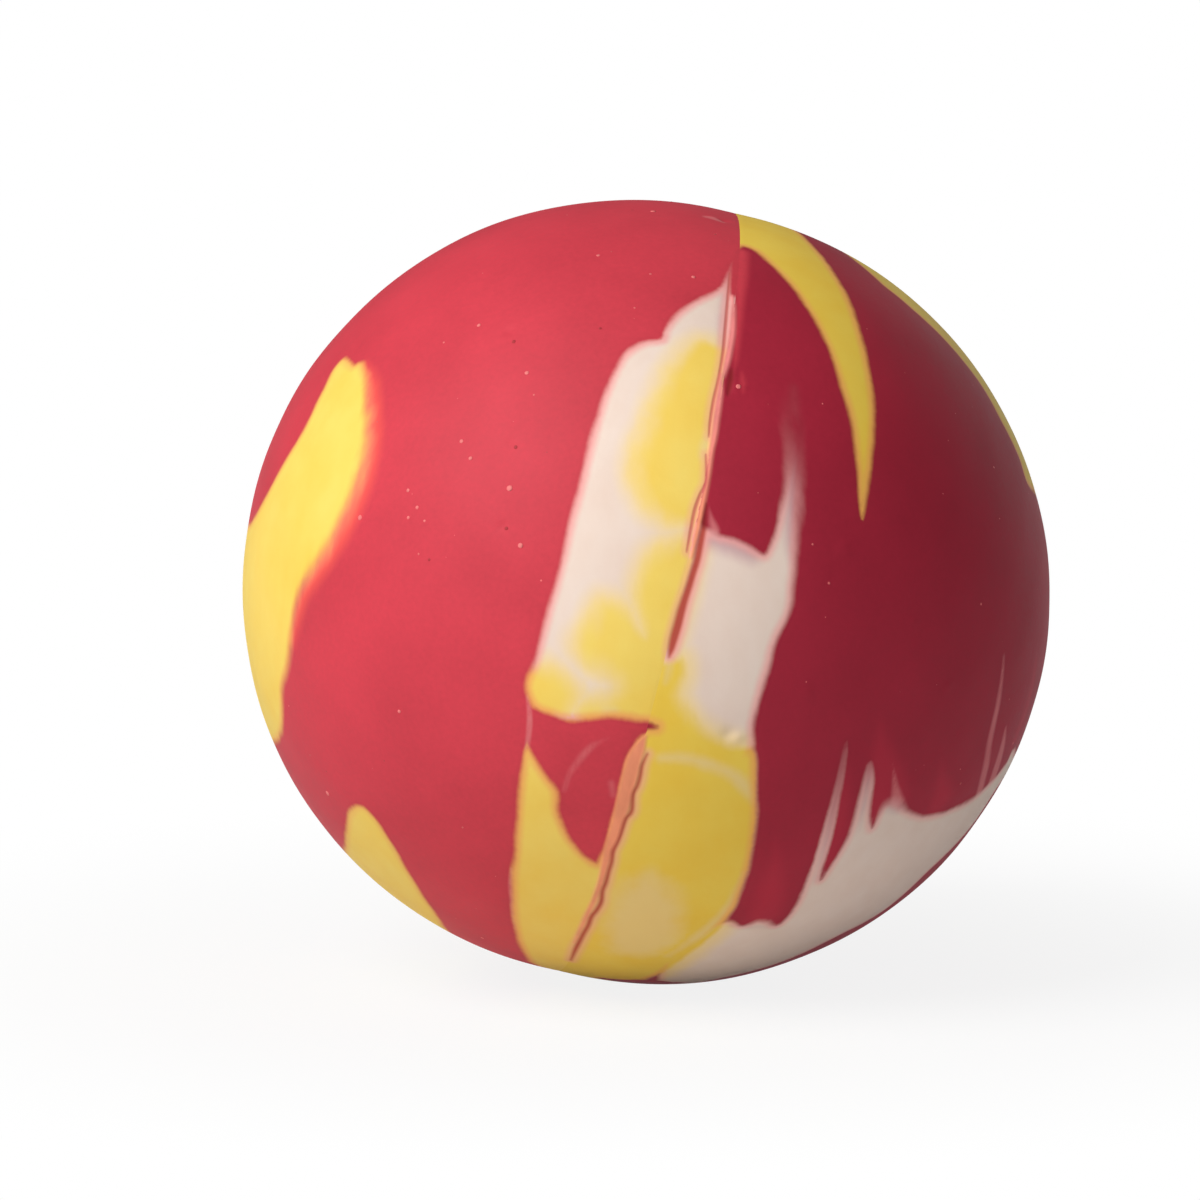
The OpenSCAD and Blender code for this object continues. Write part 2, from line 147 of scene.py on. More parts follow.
# Outlines of the stretches in the right half
RIGHT_CRESCENT_PX = (
    front((713, 200), (738, 206), (761, 212), (788, 224), (809, 242), (831, 270), (848, 301), (860, 337),
          (869, 376), (873, 418), (871, 455), (866, 492), (861, 520, 2), (858, 503, 2), (856, 475, 2.5),
          (853, 449), (849, 418), (839, 385), (828, 351), (814, 322), (798, 297), (785, 280), (770, 265),
          (756, 252), (743, 247), (718, 247))
    + rear((700, 236, 4)))
RIGHT_EDGE_STREAK_PX = (
    front((842, 250), (876, 278), (904, 301), (937, 331), (963, 360), (985, 390), (1001, 420),
          (1019, 457), (1031, 488, 2.5))
    + rear((1030, 512), (1016, 492, 4), (989, 452, 5), (942, 397, 6), (880, 345, 5), (835, 292, 4)))
RIGHT_BAND_PX = front(
    (688, 526), (703, 529), (712, 533, 4), (720, 537), (730, 539), (745, 545), (755, 551),
    (763, 555, 2.5), (768, 548), (773, 535), (777, 520), (780, 505, 4), (783, 490, 5), (786, 474, 7),
    (788, 455, 9), (789, 430, 10), (790, 405, 9), (793, 388, 7), (796, 408, 7), (798, 438, 7),
    (799, 463, 7), (798, 490, 7), (796, 520, 7), (794, 550, 6), (793, 573, 5), (791, 590, 4),
    (790, 605, 4), (785, 620), (778, 633), (772, 648), (768, 665), (763, 680), (759, 695), (755, 712),
    (752, 728), (752, 748), (740, 772), (700, 765), (625, 745), (630, 650), (650, 580))
RIGHT_LOBE_PX = (
    front((672, 662, 4), (680, 661, 5), (682, 672, 5), (678, 684, 6), (676, 695, 7), (681, 706, 8),
          (689, 717, 9), (698, 727, 9), (711, 736, 8), (725, 743, 6), (740, 748, 4), (753, 750),
          (755, 778), (756, 812), (751, 853), (743, 884), (733, 908), (716, 930), (694, 949), (674, 964),
          (658, 975), (644, 981))
    + rear((600, 970, 4), (560, 950, 4))
    + front((545, 930), (560, 850), (585, 770), (600, 700), (640, 670), (662, 664)))
RIGHT_VEIL_PX = front(
    (648, 872, 9), (666, 884, 10), (680, 905, 9), (679, 930, 9), (664, 948, 9), (640, 955, 10),
    (615, 950, 10), (604, 930, 10), (610, 905, 11), (626, 882, 10))
RIGHT_PATCH_PX = (
    front((660, 985), (662, 962), (684, 942), (706, 926), (726, 920, 4), (735, 922), (741, 925),
          (749, 923, 4), (758, 920, 5), (768, 921, 5), (776, 925), (785, 919), (797, 903),
          (806, 880, 2.5), (816, 850, 2), (829, 803, 2), (843, 744, 1.5), (846, 750, 1.5), (839, 795, 2),
          (831, 838, 2), (822, 868, 2), (820, 880, 2), (829, 867, 2.5), (841, 848), (850, 828),
          (858, 796), (864, 772, 2.5), (869, 761, 2), (872, 778, 2.5), (870, 803), (869, 818, 2.5),
          (871, 828, 2), (876, 818), (881, 807, 6), (888, 801, 7), (896, 803, 7), (906, 810, 4),
          (919, 815), (936, 814), (953, 808), (970, 800, 4), (984, 789), (998, 775), (1008, 762),
          (1015, 750))
    + rear((1000, 765, 4), (985, 785, 4))
    + front((1001, 784), (970, 829), (927, 872), (881, 913), (835, 938), (780, 963), (720, 979),
            (680, 985)))
RIGHT_REAR_BAND_PX = rear(
    (747, 374, 14), (810, 420, 7), (849, 537), (829, 662, 5), (767, 771, 14), (728, 732, 11),
    (763, 639, 6), (775, 537, 6), (740, 444, 9))
RIGHT_REAR_STREAK_PX = rear(
    (915, 530), (950, 608), (939, 725), (888, 818), (829, 865, 2), (861, 771, 7), (896, 670, 9),
    (896, 584, 7))
RIGHT_REAR_LOBE_PX = rear(
    (591, 569), (654, 553), (693, 608), (685, 709), (630, 818), (552, 888), (506, 849), (545, 709))
RIGHT_REAR_VEIL_PX = rear(
    (640, 600, 9), (662, 640, 10), (650, 700, 10), (618, 742, 9), (606, 700, 9), (622, 640, 9))

# Strips of flash along the parting line: across, down and half the width
UPPER_FLASH_PX = front((732, 292, 2.5), (731, 318, 3.5), (730, 345, 4), (727, 372))
MIDDLE_FLASH_PX = front(
    (721, 388), (719, 402, 4), (715, 425, 5), (711, 447, 5), (708, 470, 5), (703, 498, 5),
    (698, 518, 4.5), (694, 540, 4), (690, 558, 2))
LOWER_FLASH_PX = front(
    (650, 728), (645, 741, 5), (637, 754, 6), (631, 772, 6), (626, 792, 6), (621, 812, 5.5),
    (613, 833, 5), (606, 855, 4), (600, 870, 2.5))
REAR_FLASH_PX = rear(
    (667, 378), (655, 430, 5), (638, 483, 5.5), (622, 540, 5.5), (609, 592, 5.5), (597, 640, 5),
    (582, 709))

# Where the flash shows its own colour
FLASH_TONES_PX = [
    front((732, 297, 0.6), (732.5, 307, 2.2), (732, 320), (731, 335, 3.3), (729, 348, 3.2),
          (726.5, 360, 3.2), (724, 371, 2.4), (722, 379, 1.2)),
    front((720, 376, 1.4), (719, 392, 2.8), (717, 406, 3.4), (715, 420, 3.4), (713, 436, 3.2),
          (710, 452, 2.6), (708, 468, 2.4), (706, 484, 2), (703, 498, 2.4), (700, 512, 2.6),
          (697, 528, 2.6), (694, 542, 2.2), (691, 557, 0.8)),
    front((645, 735, 1), (640, 745, 5), (634, 758, 7), (630.5, 772, 7.6), (626.5, 788, 7.4),
          (622.5, 804, 7), (618.5, 820, 6.4), (613.5, 836, 5.8), (609, 850, 5), (605, 864, 4), (601, 880),
          (595, 896, 2.4), (584, 920, 2), (574, 942, 0.8)),
    rear((667, 382, 1), (655, 430, 4), (638, 483, 4.6), (622, 540, 4.6), (609, 592, 4.6), (597, 640, 3.6),
         (583, 705, 1)),
]

# Open cuts in the parting line, drawn in the same way
HAIRLINES_PX = [
    front((729, 274, 0.4), (727, 300, 1), (725, 324, 1.2), (722, 355, 1.2), (718, 378, 1),
          (712, 405, 1.2), (709, 425, 1), (708, 438, 0.5)),
    front((705, 456, 0.5), (705, 482, 1), (699, 496, 1.2), (694, 510, 1.3), (690, 530, 1.1),
          (686, 552, 0.5)),
]
SLITS_PX = [
    front((706, 505, 0.6), (704.5, 518, 1.8), (702.5, 530), (699.5, 545, 3.5), (696.5, 560, 3.5),
          (692.5, 573, 3.5), (688, 588, 3.6), (684, 600, 3.8), (680.5, 612, 4.2), (677, 626, 4.4),
          (673.5, 638, 4.2), (670.5, 650), (669, 656, 1)),
    front((731, 371, 1.4), (730, 380, 2.6), (728, 390, 2.4), (727, 396, 1)),
    front((647, 753, 0.8), (642, 764, 1.6), (640, 775, 1.8), (637, 785, 1.8), (633, 793, 1.8),
          (631.5, 810, 2), (626, 817, 1.8), (623, 825, 1.8), (620, 835, 1.8), (617, 842, 1.7),
          (613, 850, 1.9), (611.5, 861, 1.9), (608.5, 871, 1.9), (606, 881, 2), (602.5, 890, 2.1),
          (601, 901, 2.3), (597, 909, 2.3), (591.5, 916, 2.3), (588, 925, 2.3), (583.5, 933, 2.3),
          (580, 940, 2.3), (575.5, 949, 2.3), (570.5, 961, 1)),
    rear((660, 452, 1), (650, 486, 1.8), (646, 512, 1.7), (634, 548, 2), (630, 570, 1.7), (618, 600, 2.2),
         (614, 628, 2), (601, 664, 2.2), (598, 690, 1.8), (586, 730, 1.7), (577, 764, 1)),
]

# Lines in the skin of each half: red over the pale stretches, yellow and cream in them, pink where pale
# rubber shows through red, ghosts where it hardly does, lilac where white has taken on red, over where the
# other half's red is pressed over this one's, glow where red is lit up from under it, and thin where red
# shows through pale rubber. Where a width is under nought, the line is fainter
LEFT_LINES_PX = {
    "red": [front((747, 246, 9), (739, 262, 8), (735, 280, 5.5), (733, 296, 4))],
    "cream": [
        front((707, 437, 1.5), (704, 446, 3.5), (702, 457, 2.5)),
        front((606, 709, 2.5), (614, 709, 2.5)),
        rear((700, 400), (676, 470, 7), (640, 545, 7), (600, 600)),
    ],
    "pink": [
        front((528, 696, 1.5), (530, 715, 2.2), (529, 733, 2.4), (527, 748, 2)),
        front((512, 868, 1), (511, 885, 2.4), (513, 905, 2.6), (516, 930, 1.6)),
        front((706, 217, 3.5), (714, 219, 4.5), (723, 222, 2.5)),
    ],
    "ghost": [
        front((611, 782), (613, 794)),
        front((608, 737, 0.5), (596, 743, 2), (586, 751, 2.4), (577, 762, 2.4), (570, 773, 2),
              (564, 790, 0)),
    ],
    "lilac": [front((722, 296, -2), (719, 330, -2), (716, 362, -6))],
    "glow": [
        front((364, 368, 2), (372, 392, 7), (373, 441, 9), (363, 489, 9), (342, 536, 8), (319, 573, 7),
              (303, 600, 6), (293, 640)),
        rear((577, 638, 4), (572, 560, 12), (602, 448, 12), (652, 345, 5)),
        rear((302, 724, 4), (326, 662, 12), (330, 608, 12), (304, 556, 6)),
    ],
    "thin": [front((736, 256, 16), (729, 274, 6), (725, 290, -14))],
}
RIGHT_LINES_PX = {
    "red": [
        front((638, 725, 4.5), (648, 725, 4), (656, 726, 2)),
        front((606, 980, 8), (630, 983, 24), (655, 984, 27), (672, 984, 12)),
    ],
    "yellow": [front((693, 550, 1), (687, 568, 3.4), (682, 586, 4.2), (677, 606, 3.6), (671, 628, 3.6),
                     (666, 646, 2.6))],
    "cream": [
        front((660, 757), (680, 757, 5), (700, 761, 6), (725, 770, 6), (743, 784, 5), (753, 801)),
        front((669, 656, 1.5), (668, 668), (665, 682, 1)),
        front((744, 872, 1), (729, 904, 3.4), (702, 932, 4), (668, 955, 2)),
        rear((1012, 480, 4), (985, 446, 8), (950, 402, 8), (900, 352, 4)),
        rear((936, 610), (924, 700, 7), (880, 790, 6), (846, 840, 2)),
    ],
    "ghost": [
        front((708.5, 508, -1), (710.5, 520, 2), (714, 531, 4)),
        front((1003, 655, 0), (998, 700, 3.6), (989, 745, 5.4), (980, 790, 7)),
        front((1005, 728, 1), (1000, 756, 7), (991, 784, 9)),
        front((889, 735, -5), (892, 768, -1), (895, 802, 8)),
    ],
    "lilac": [
        front((706, 538, 9), (728, 544, 9), (752, 554, 7)),
        front((796, 388, 12), (797, 440, 14), (795, 480, 14), (792, 515, 10), (790, 548, 2),
              (788, 575, -10)),
        front((843, 742, 5), (835, 790, 5), (826, 840, 4), (816, 880, -2)),
        front((868, 762, 5), (863, 800, 2), (858, 830, -4)),
        front((884, 802, 4), (898, 806, 4)),
        front((732, 924, -1), (776, 926, -1)),
    ],
    "over": [
        front((740, 253, 8), (740, 275, 7), (739, 300, 4.5), (737, 330), (735, 360, 1), (734, 372, -3)),
        front((741, 374, -1), (742, 384, 1.5), (742, 394, -1)),
    ],
    "glow": [
        front((876, 690, -18), (880, 745, 8), (884, 800, 26)),
        front((938, 735, -16), (940, 800, 16)),
        front((846, 750, -8), (838, 815, 10), (826, 860, 10)),
        front((776, 800, -16), (772, 880, 10), (764, 915, 16)),
        front((1036, 660, 0), (1028, 705, 8), (1014, 742, 4)),
        rear((905, 330, -6), (936, 392, 10), (962, 470, 16), (960, 560, 12), (968, 640, -6)),
        rear((690, 420, -8), (706, 500, 8), (712, 590, 8), (722, 660, -8)),
        rear((842, 300, 0), (900, 360, 6), (960, 420, 6), (1008, 500, 0)),
        rear((604, 548, 0), (560, 640, 6), (522, 780, 0)),
    ],
    "thin": [
        front((793, 378, 32), (796, 420, 26), (797, 455, 14), (796, 480), (793, 505, -10),
              (790, 535, -24)),
        front((844, 736, 16), (838, 780, 6), (830, 820, -6), (821, 860, -22)),
        front((869, 756, 8), (866, 785, -8), (862, 815, -24)),
    ],
}

# Stray bits of rubber in the skin: across, down and half the width, light ones and dark ones
LIGHT_FLECKS_PX = front(
    (653, 211, 2.8), (598, 256, 2), (479, 326, 2.2), (527, 374, 2.4), (462, 442, 2.2), (471, 459, 2.2),
    (510, 489, 3.2), (521, 546, 2.8), (361, 518, 2.8), (328, 793), (400, 711, 2), (482, 938, 2),
    (693, 278, 2.2), (409, 491, 2), (418, 508, 2), (409, 518, 1.8), (737, 389, 2.8))
DARK_FLECKS_PX = front((514, 343, 2.2), (516, 448, 2), (507, 529, 2), (600, 330, 1.6), (430, 560, 1.6))

# Stretches of each half: outline, kind, strength of the coloured rim, and how far yellow runs past it in mm
STRETCHES = {
    LEFT: {
        "streak": (LEFT_STREAK_PX, "yellow", 0.6, 0.3),
        "wedge": (LEFT_WEDGE_PX, "yellow", 0.5, 0.3),
        "band": (LEFT_BAND_PX, "white", 1.0),
        "upper_cloud": (LEFT_UPPER_CLOUD_PX, "cloud"),
        "lower_cloud": (LEFT_LOWER_CLOUD_PX, "cloud"),
        "corner_cloud": (LEFT_CORNER_CLOUD_PX, "cloud"),
        "flap": (LEFT_FLAP_PX, "flap"),
        "tail": (LEFT_TAIL_PX, "yellow", 0.9, 0.25),
        "rear_band": (LEFT_REAR_BAND_PX, "white", 1.0),
        "rear_cloud": (LEFT_REAR_CLOUD_PX, "cloud"),
        "rear_streak": (LEFT_REAR_STREAK_PX, "yellow", 0.7, 0.3),
    },
    RIGHT: {
        "crescent": (RIGHT_CRESCENT_PX, "yellow", 0.8, 0.5),
        "edge_streak": (RIGHT_EDGE_STREAK_PX, "yellow", 1.0, 0.5),
        "band": (RIGHT_BAND_PX, "white", 0.8),
        "lobe": (RIGHT_LOBE_PX, "yellow", 0.8, 0.03),
        "veil": (RIGHT_VEIL_PX, "veil"),
        "patch": (RIGHT_PATCH_PX, "white", 0.6),
        "rear_band": (RIGHT_REAR_BAND_PX, "white", 0.8),
        "rear_streak": (RIGHT_REAR_STREAK_PX, "yellow", 0.8, 0.3),
        "rear_lobe": (RIGHT_REAR_LOBE_PX, "yellow", 0.8, 0.3),
        "rear_veil": (RIGHT_REAR_VEIL_PX, "veil"),
    },
}
# Material slot and depth of each kind of stretch
KINDS = {
    "yellow": ("yellow_rubber", "streak"),
    "white": ("white_rubber", "streak"),
    "cloud": ("yellow_rubber", "cloud"),
    "veil": ("cream_rubber", "cloud"),
    "flap": ("red_rubber", "cloud"),
}
# Node of each piece: the stretch that it is, and those that lie over it or beside it and are cut from it
PIECES = {
    LEFT: {
        "left_yellow_streak": ("streak",),
        "left_yellow_wedge": ("wedge",),
        "left_white_band": ("band", "upper_cloud", "lower_cloud", "flap", "tail"),
        "left_upper_cloud": ("upper_cloud",),
        "left_lower_cloud": ("lower_cloud", "upper_cloud", "flap", "tail"),
        "left_red_flap": ("flap",),
        "left_yellow_tail": ("tail", "flap"),
        "left_rear_white_band": ("rear_band", "rear_cloud"),
        "left_rear_yellow_cloud": ("rear_cloud",),
        "left_rear_yellow_streak": ("rear_streak",),
    },
    RIGHT: {
        "right_yellow_crescent": ("crescent",),
        "right_edge_streak": ("edge_streak", "crescent"),
        "right_white_band": ("band", "lobe"),
        "right_yellow_lobe": ("lobe", "veil", "wisp"),
        "right_lobe_veil": ("veil",),
        "right_lobe_wisp": ("wisp",),
        "right_white_patch": ("patch", "lobe"),
        "right_rear_white_band": ("rear_band",),
        "right_rear_yellow_streak": ("rear_streak",),
        "right_rear_yellow_lobe": ("rear_lobe", "lobe"),
    },
}


def directions(tilt, turn, lean):
    """Right, away and up of the drawing, and the axis of the mould, which points to the right half."""
    right = np.array((1, 0, 0))
    away = np.array((0, math.cos(lean), -math.sin(lean)))
    up = np.array((0, math.sin(lean), math.cos(lean)))
    axis = math.cos(tilt) * (math.cos(turn) * right + math.sin(turn) * away) - math.sin(tilt) * up
    return right, away, up, axis


def measured():
    """Diameter of the half balls and width of the belt, to a tenth of a millimetre, from the CAD box."""
    low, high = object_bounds()
    wide, deep = (high - low)[:2]
    axis = np.abs(directions(PARTING_TILT, PARTING_TURN, FRONT_LEAN)[-1])
    belt = (wide - deep) / (axis[0] - axis[1])
    return [round(size / MM, 1) * MM for size in (deep - belt * axis[1], belt)]


PARTING_TILT, PARTING_TURN, FRONT_LEAN = (math.radians(angle) for angle in (13, 5, 10))
HALF_BALL_D, BELT_W = measured()
LENGTH = {"unit": "LENGTH", "precision": 5}
PAINT = {"size": 3, "subtype": "COLOR", "min": 0, "max": 1}


class BallSizes(bpy.types.PropertyGroup):
    """Sizes of the ball and of its mesh."""

    cavity_d: FloatProperty(
        name="Half ball diameter", description="Diameter along the parting line",
        default=HALF_BALL_D, min=0.02, max=0.06, **LENGTH)
    belt_w: FloatProperty(
        name="Belt width", description="Straight belt between the half balls",
        default=BELT_W, min=0.0004, max=0.002, **LENGTH)
    parting_tilt: FloatProperty(
        name="Parting tilt", description="Tilt of the parting line from the front",
        default=PARTING_TILT, subtype="ANGLE")
    parting_turn: FloatProperty(
        name="Parting turn", description="Turn of the parting line, seen from above",
        default=PARTING_TURN, subtype="ANGLE")
    front_lean: FloatProperty(
        name="Front lean", description="Height angle of the view that the front is drawn in",
        default=FRONT_LEAN, subtype="ANGLE")
    streak_depth: FloatProperty(
        name="Streak depth", description="Depth of the bands and streaks", default=3.5 * MM, **LENGTH)
    cloud_depth: FloatProperty(
        name="Cloud depth", description="Depth of the clouds, veils and flap", default=1.5 * MM, **LENGTH)
    flash_depth: FloatProperty(
        name="Flash depth", description="Depth of the strips of flash", default=0.9 * MM, **LENGTH)
    slit_depth: FloatProperty(
        name="Slit depth", description="Depth of the open slits", default=0.025 * MM, **LENGTH)
    skin_step: FloatProperty(
        name="Skin step", description="Length of a mesh edge on the skin", default=0.145 * MM, **LENGTH)
    seam_step: FloatProperty(
        name="Seam step", description="Width of a mesh ring beside the parting line",
        default=0.032 * MM, **LENGTH)


class BallColours(bpy.types.PropertyGroup):
    """Colours of the rubber."""

    left_red: FloatVectorProperty(
        name="Left red", description="Red of the left half", default=(0.64, 0.049, 0.075), **PAINT)
    right_red: FloatVectorProperty(
        name="Right red", description="Red of the right half", default=(0.395, 0.017, 0.042), **PAINT)
    left_yellow: FloatVectorProperty(
        name="Left yellow", description="Yellow of the left half", default=(0.95, 0.69, 0.13), **PAINT)
    right_yellow: FloatVectorProperty(
        name="Right yellow", description="Yellow of the right half", default=(0.91, 0.64, 0.08), **PAINT)
    white: FloatVectorProperty(
        name="White", description="White of the bands", default=(0.875, 0.715, 0.625), **PAINT)
    cream: FloatVectorProperty(
        name="Cream", description="White that has taken on yellow", default=(0.96, 0.72, 0.31), **PAINT)
    veil: FloatVectorProperty(
        name="Veil", description="Veils of white over the yellow", default=(0.88, 0.67, 0.34), **PAINT)
    blush: FloatVectorProperty(
        name="Blush", description="Rim of the white stretches", default=(0.92, 0.40, 0.38), **PAINT)
    orange: FloatVectorProperty(
        name="Orange", description="Rim of the yellow stretches", default=(0.93, 0.40, 0.12), **PAINT)
    peach: FloatVectorProperty(
        name="Peach", description="Yellow beside the slits", default=(0.95, 0.49, 0.26), **PAINT)
    left_glow: FloatVectorProperty(
        name="Left glow", description="Left red lit up from under it", default=(0.92, 0.11, 0.085), **PAINT)
    right_glow: FloatVectorProperty(
        name="Right glow", description="Right red lit up likewise", default=(0.54, 0.024, 0.055), **PAINT)
    pink: FloatVectorProperty(
        name="Pink", description="Pale rubber that shows through red", default=(0.80, 0.26, 0.27), **PAINT)
    lilac: FloatVectorProperty(
        name="Lilac", description="White that has taken on red", default=(0.57, 0.30, 0.35), **PAINT)
    flash: FloatVectorProperty(
        name="Flash", description="Flash in the middle and below", default=(0.96, 0.33, 0.18), **PAINT)
    upper_flash: FloatVectorProperty(
        name="Upper flash", description="Flash at the top", default=(0.98, 0.29, 0.28), **PAINT)
    dark_fleck: FloatVectorProperty(
        name="Dark fleck", description="Darkest flecks in the skin", default=(0.42, 0.03, 0.04), **PAINT)
    light_fleck: FloatVectorProperty(
        name="Light fleck", description="Lightest flecks in the skin", default=(0.83, 0.20, 0.20), **PAINT)
    hairline: FloatVectorProperty(
        name="Hairline", description="Closed hairlines", default=(0.60, 0.12, 0.10), **PAINT)
    # Red rubber at the bottom of the slits, made darker with painted shade that stands in for the depth of
    # the groove
    slit: FloatVectorProperty(
        name="Slit", description="Bottom of the slits", default=(0.50, 0.068, 0.046), **PAINT)


class BallFlecks(bpy.types.PropertyGroup):
    """Stray bits of rubber in the red skin."""

    per_area: FloatProperty(
        name="Flecks per area", description="Flecks on a square metre of red skin", default=95000, min=0)
    least: FloatProperty(
        name="Least radius", description="Radius of the smallest random fleck",
        default=0.018 * MM, unit="LENGTH", precision=6)
    most: FloatProperty(
        name="Most radius", description="Radius of the largest random fleck",
        default=0.062 * MM, unit="LENGTH", precision=6)
    seed: IntProperty(name="Seed", description="Start of the random draws", default=7)


class BallStage(bpy.types.PropertyGroup):
    """Light and camera."""

    key_power: FloatProperty(
        name="Key power", description="Power of the lamp on the left", default=1.63, min=0, unit="POWER")
    fill_power: FloatProperty(
        name="Fill power", description="Power of the lamp in front", default=0.13, min=0, unit="POWER")
    back_power: FloatProperty(
        name="Back power", description="Power of the lamp behind", default=0.22, min=0, unit="POWER")
    sky_level: FloatProperty(
        name="Sky level", description="Strength of the light from all round", default=0.15, min=0, max=1)
    camera_distance: FloatProperty(
        name="Camera distance", description="From the ball's centre", default=1.5, unit="LENGTH")


def unit(v):
    """The vectors with a length of one."""
    return v / np.maximum(np.linalg.norm(v, axis=-1, keepdims=True), TINY)


def smooth(t):
    """Eased from 0 to 1, and flat outside."""
    t = np.clip(t, 0, 1)
    return t * t * (3 - 2 * t)


class Ball:
    """The two half balls in millimetres, and the directions in which the marbling is drawn."""

    def __init__(self, sizes):
        self.r = sizes.cavity_d / MM / 2
        self.half_belt = sizes.belt_w / MM / 2
        self.px = self.r / HALF_BALL_PX
        self.right, self.away, self.up, self.axis = directions(
            sizes.parting_tilt, sizes.parting_turn, sizes.front_lean)
        self.across = unit(np.cross(self.axis, self.up))
        self.along = np.cross(self.axis, self.across)

    def middle(self, points):
        """Nearest point on the short line between the middles of the two half balls."""
        return np.clip(points @ self.axis, -self.half_belt, self.half_belt)[:, None] * self.axis

    def on_skin(self, points):
        """The points moved straight to the moulded skin."""
        middle = self.middle(points)
        return middle + self.r * unit(points - middle)

    def outwards(self, points):
        return unit(points - self.middle(points))

    def lifted(self, rows, side):
        """Drawn points on the skin of one half ball, with the fourth number the half width in mm."""
        rows = np.array(rows, dtype=float)
        x = (rows[:, 0] - CENTRE_PX[0]) * self.px
        y = (CENTRE_PX[1] - rows[:, 1]) * self.px
        middle = side * self.half_belt * self.axis
        deep = self.r ** 2 - (x - middle @ self.right) ** 2 - (y - middle @ self.up) ** 2
        depth = middle @ self.away + rows[:, 3] * np.sqrt(np.maximum(0, deep))
        place = x[:, None] * self.right + depth[:, None] * self.away + y[:, None] * self.up
        return np.column_stack((place, rows[:, 2] * self.px))


def bent(points, step, closed):
    """A smooth curve through the points, cut into runs of about one step. Further columns follow along."""
    n = len(points)
    made = []
    for i in range(n if closed else n - 1):
        near = [(i + k) % n if closed else min(max(i + k, 0), n - 1) for k in (-1, 0, 1, 2)]
        a, b, c, d = points[near]
        runs = max(2, math.ceil(np.linalg.norm((c - b)[:3]) / step))
        for t in np.arange(runs) / runs:
            made.append(b + (c - a) * t / 2 + (2 * a - 5 * b + 4 * c - d) * t * t / 2
                        + (3 * b - a - 3 * c + d) * t ** 3 / 2)
    if not closed:
        made.append(points[-1])
    return np.array(made)


def nearest(points, line, widths, closed):
    """Distance to the line, and the width at its nearest place."""
    best = np.full(len(points), np.inf)
    width = np.zeros(len(points))
    ends = np.roll(line, -1, axis=0) if closed else line[1:]
    end_widths = np.roll(widths, -1) if closed else widths[1:]
    for a, b, wa, wb in zip(line, ends, widths, end_widths):
        run = b - a
        t = np.clip(((points - a) @ run) / max(run @ run, TINY), 0, 1)
        d = ((points - a - t[:, None] * run) ** 2).sum(axis=1)
        nearer = d < best
        best = np.where(nearer, d, best)
        width = np.where(nearer, wa + (wb - wa) * t, width)
    return np.sqrt(best), width


def middle_of(ring):
    """Direction from the ball's centre to the middle of a ring of points."""
    return unit(unit(ring).mean(axis=0))


class Outline:
    """A closed curve on the skin, which cuts a stretch out of a half ball and gives its distance in mm."""

    STEP = 0.25
    NEAR = 2.2
    COARSE = 6
    # Edges are this much softer than they are drawn
    SPREAD = 1.35
    # Any direction that lies along no outline's axis
    SLANT = (0.3, 0.5, 0.8)
    # Points are tried this far outside the outline's box, and this far ahead of the ball's middle
    BOX_MARGIN, AHEAD, LEAST_AHEAD = 1.01, 1e-2, 1e-3

    def __init__(self, ball, side, rows, kind, rim=0.0, yellow_past=0.0):
        curve = bent(ball.lifted(rows, side), self.STEP, closed=True)
        self.points = ball.on_skin(curve[:, :3])
        self.soft = np.maximum(curve[:, 3], ball.px) * self.SPREAD
        self.kind, self.rim, self.yellow_past = kind, rim, yellow_past
        self.axis = middle_of(self.points)
        self.east = unit(np.cross(self.axis, self.SLANT))
        self.north = np.cross(self.axis, self.east)

    def flat(self, points):
        """The points as seen from the ball's centre, on a plane square to the outline's middle."""
        ahead = np.maximum(points @ self.axis, self.LEAST_AHEAD)
        return np.column_stack((points @ self.east, points @ self.north)) / ahead[:, None]

    def holds(self, points):
        """Whether each point lies under the outline."""
        inside = np.zeros(len(points), dtype=bool)
        ring = self.flat(self.points)
        reach = np.abs(ring).max() * self.BOX_MARGIN
        p = self.flat(points)
        tried = np.flatnonzero((points @ self.axis > self.AHEAD) & (np.abs(p) < reach).all(axis=1))
        x, y = p[tried].T
        within = np.zeros(len(tried), dtype=bool)
        for (ax, ay), (bx, by) in zip(ring, np.roll(ring, -1, axis=0)):
            if ay == by:
                continue
            crossed = (ay > y) != (by > y)
            within ^= crossed & (x < ax + (bx - ax) * (y - ay) / (by - ay))
        inside[tried] = within
        return inside

    def distance(self, points):
        """Signed distance in mm, positive inside, and the softness of the nearest edge."""
        far = np.full(len(points), self.NEAR)
        soft = np.full(len(points), self.soft.mean())
        close = np.zeros(len(points), dtype=bool)
        for q in self.points[::self.COARSE]:
            close |= ((points - q) ** 2).sum(axis=1) < (self.NEAR + self.STEP * self.COARSE) ** 2
        tried = np.flatnonzero(close)
        if len(tried):
            far[tried], soft[tried] = nearest(points[tried], self.points, self.soft, closed=True)
        far = np.minimum(far, self.NEAR)
        return np.where(self.holds(points), far, -far), soft


class Line:
    """An open line on the skin with a changing width."""

    STEP = 0.15
    NEAR = 1.6

    def __init__(self, ball, rows, side=RIGHT):
        curve = bent(ball.lifted(rows, side), self.STEP, closed=False)
        self.points = ball.on_skin(curve[:, :3])
        self.half_widths = curve[:, 3]

    def distance(self, points):
        """Distance inwards from the line's own edge in mm, negative outside."""
        made = np.full(len(points), -self.NEAR)
        low, high = self.points.min(axis=0) - self.NEAR, self.points.max(axis=0) + self.NEAR
        tried = np.flatnonzero(((points > low) & (points < high)).all(axis=1))
        if len(tried):
            far, half_width = nearest(points[tried], self.points, self.half_widths, closed=False)
            made[tried] = np.maximum(half_width - far, -self.NEAR)
        return made

    def edge(self):
        """Closed ring of points round the line."""
        ahead = unit(np.gradient(self.points, axis=0))
        aside = unit(np.cross(ahead, unit(self.points))) * self.half_widths[:, None]
        return np.vstack((self.points + aside, (self.points - aside)[::-1]))


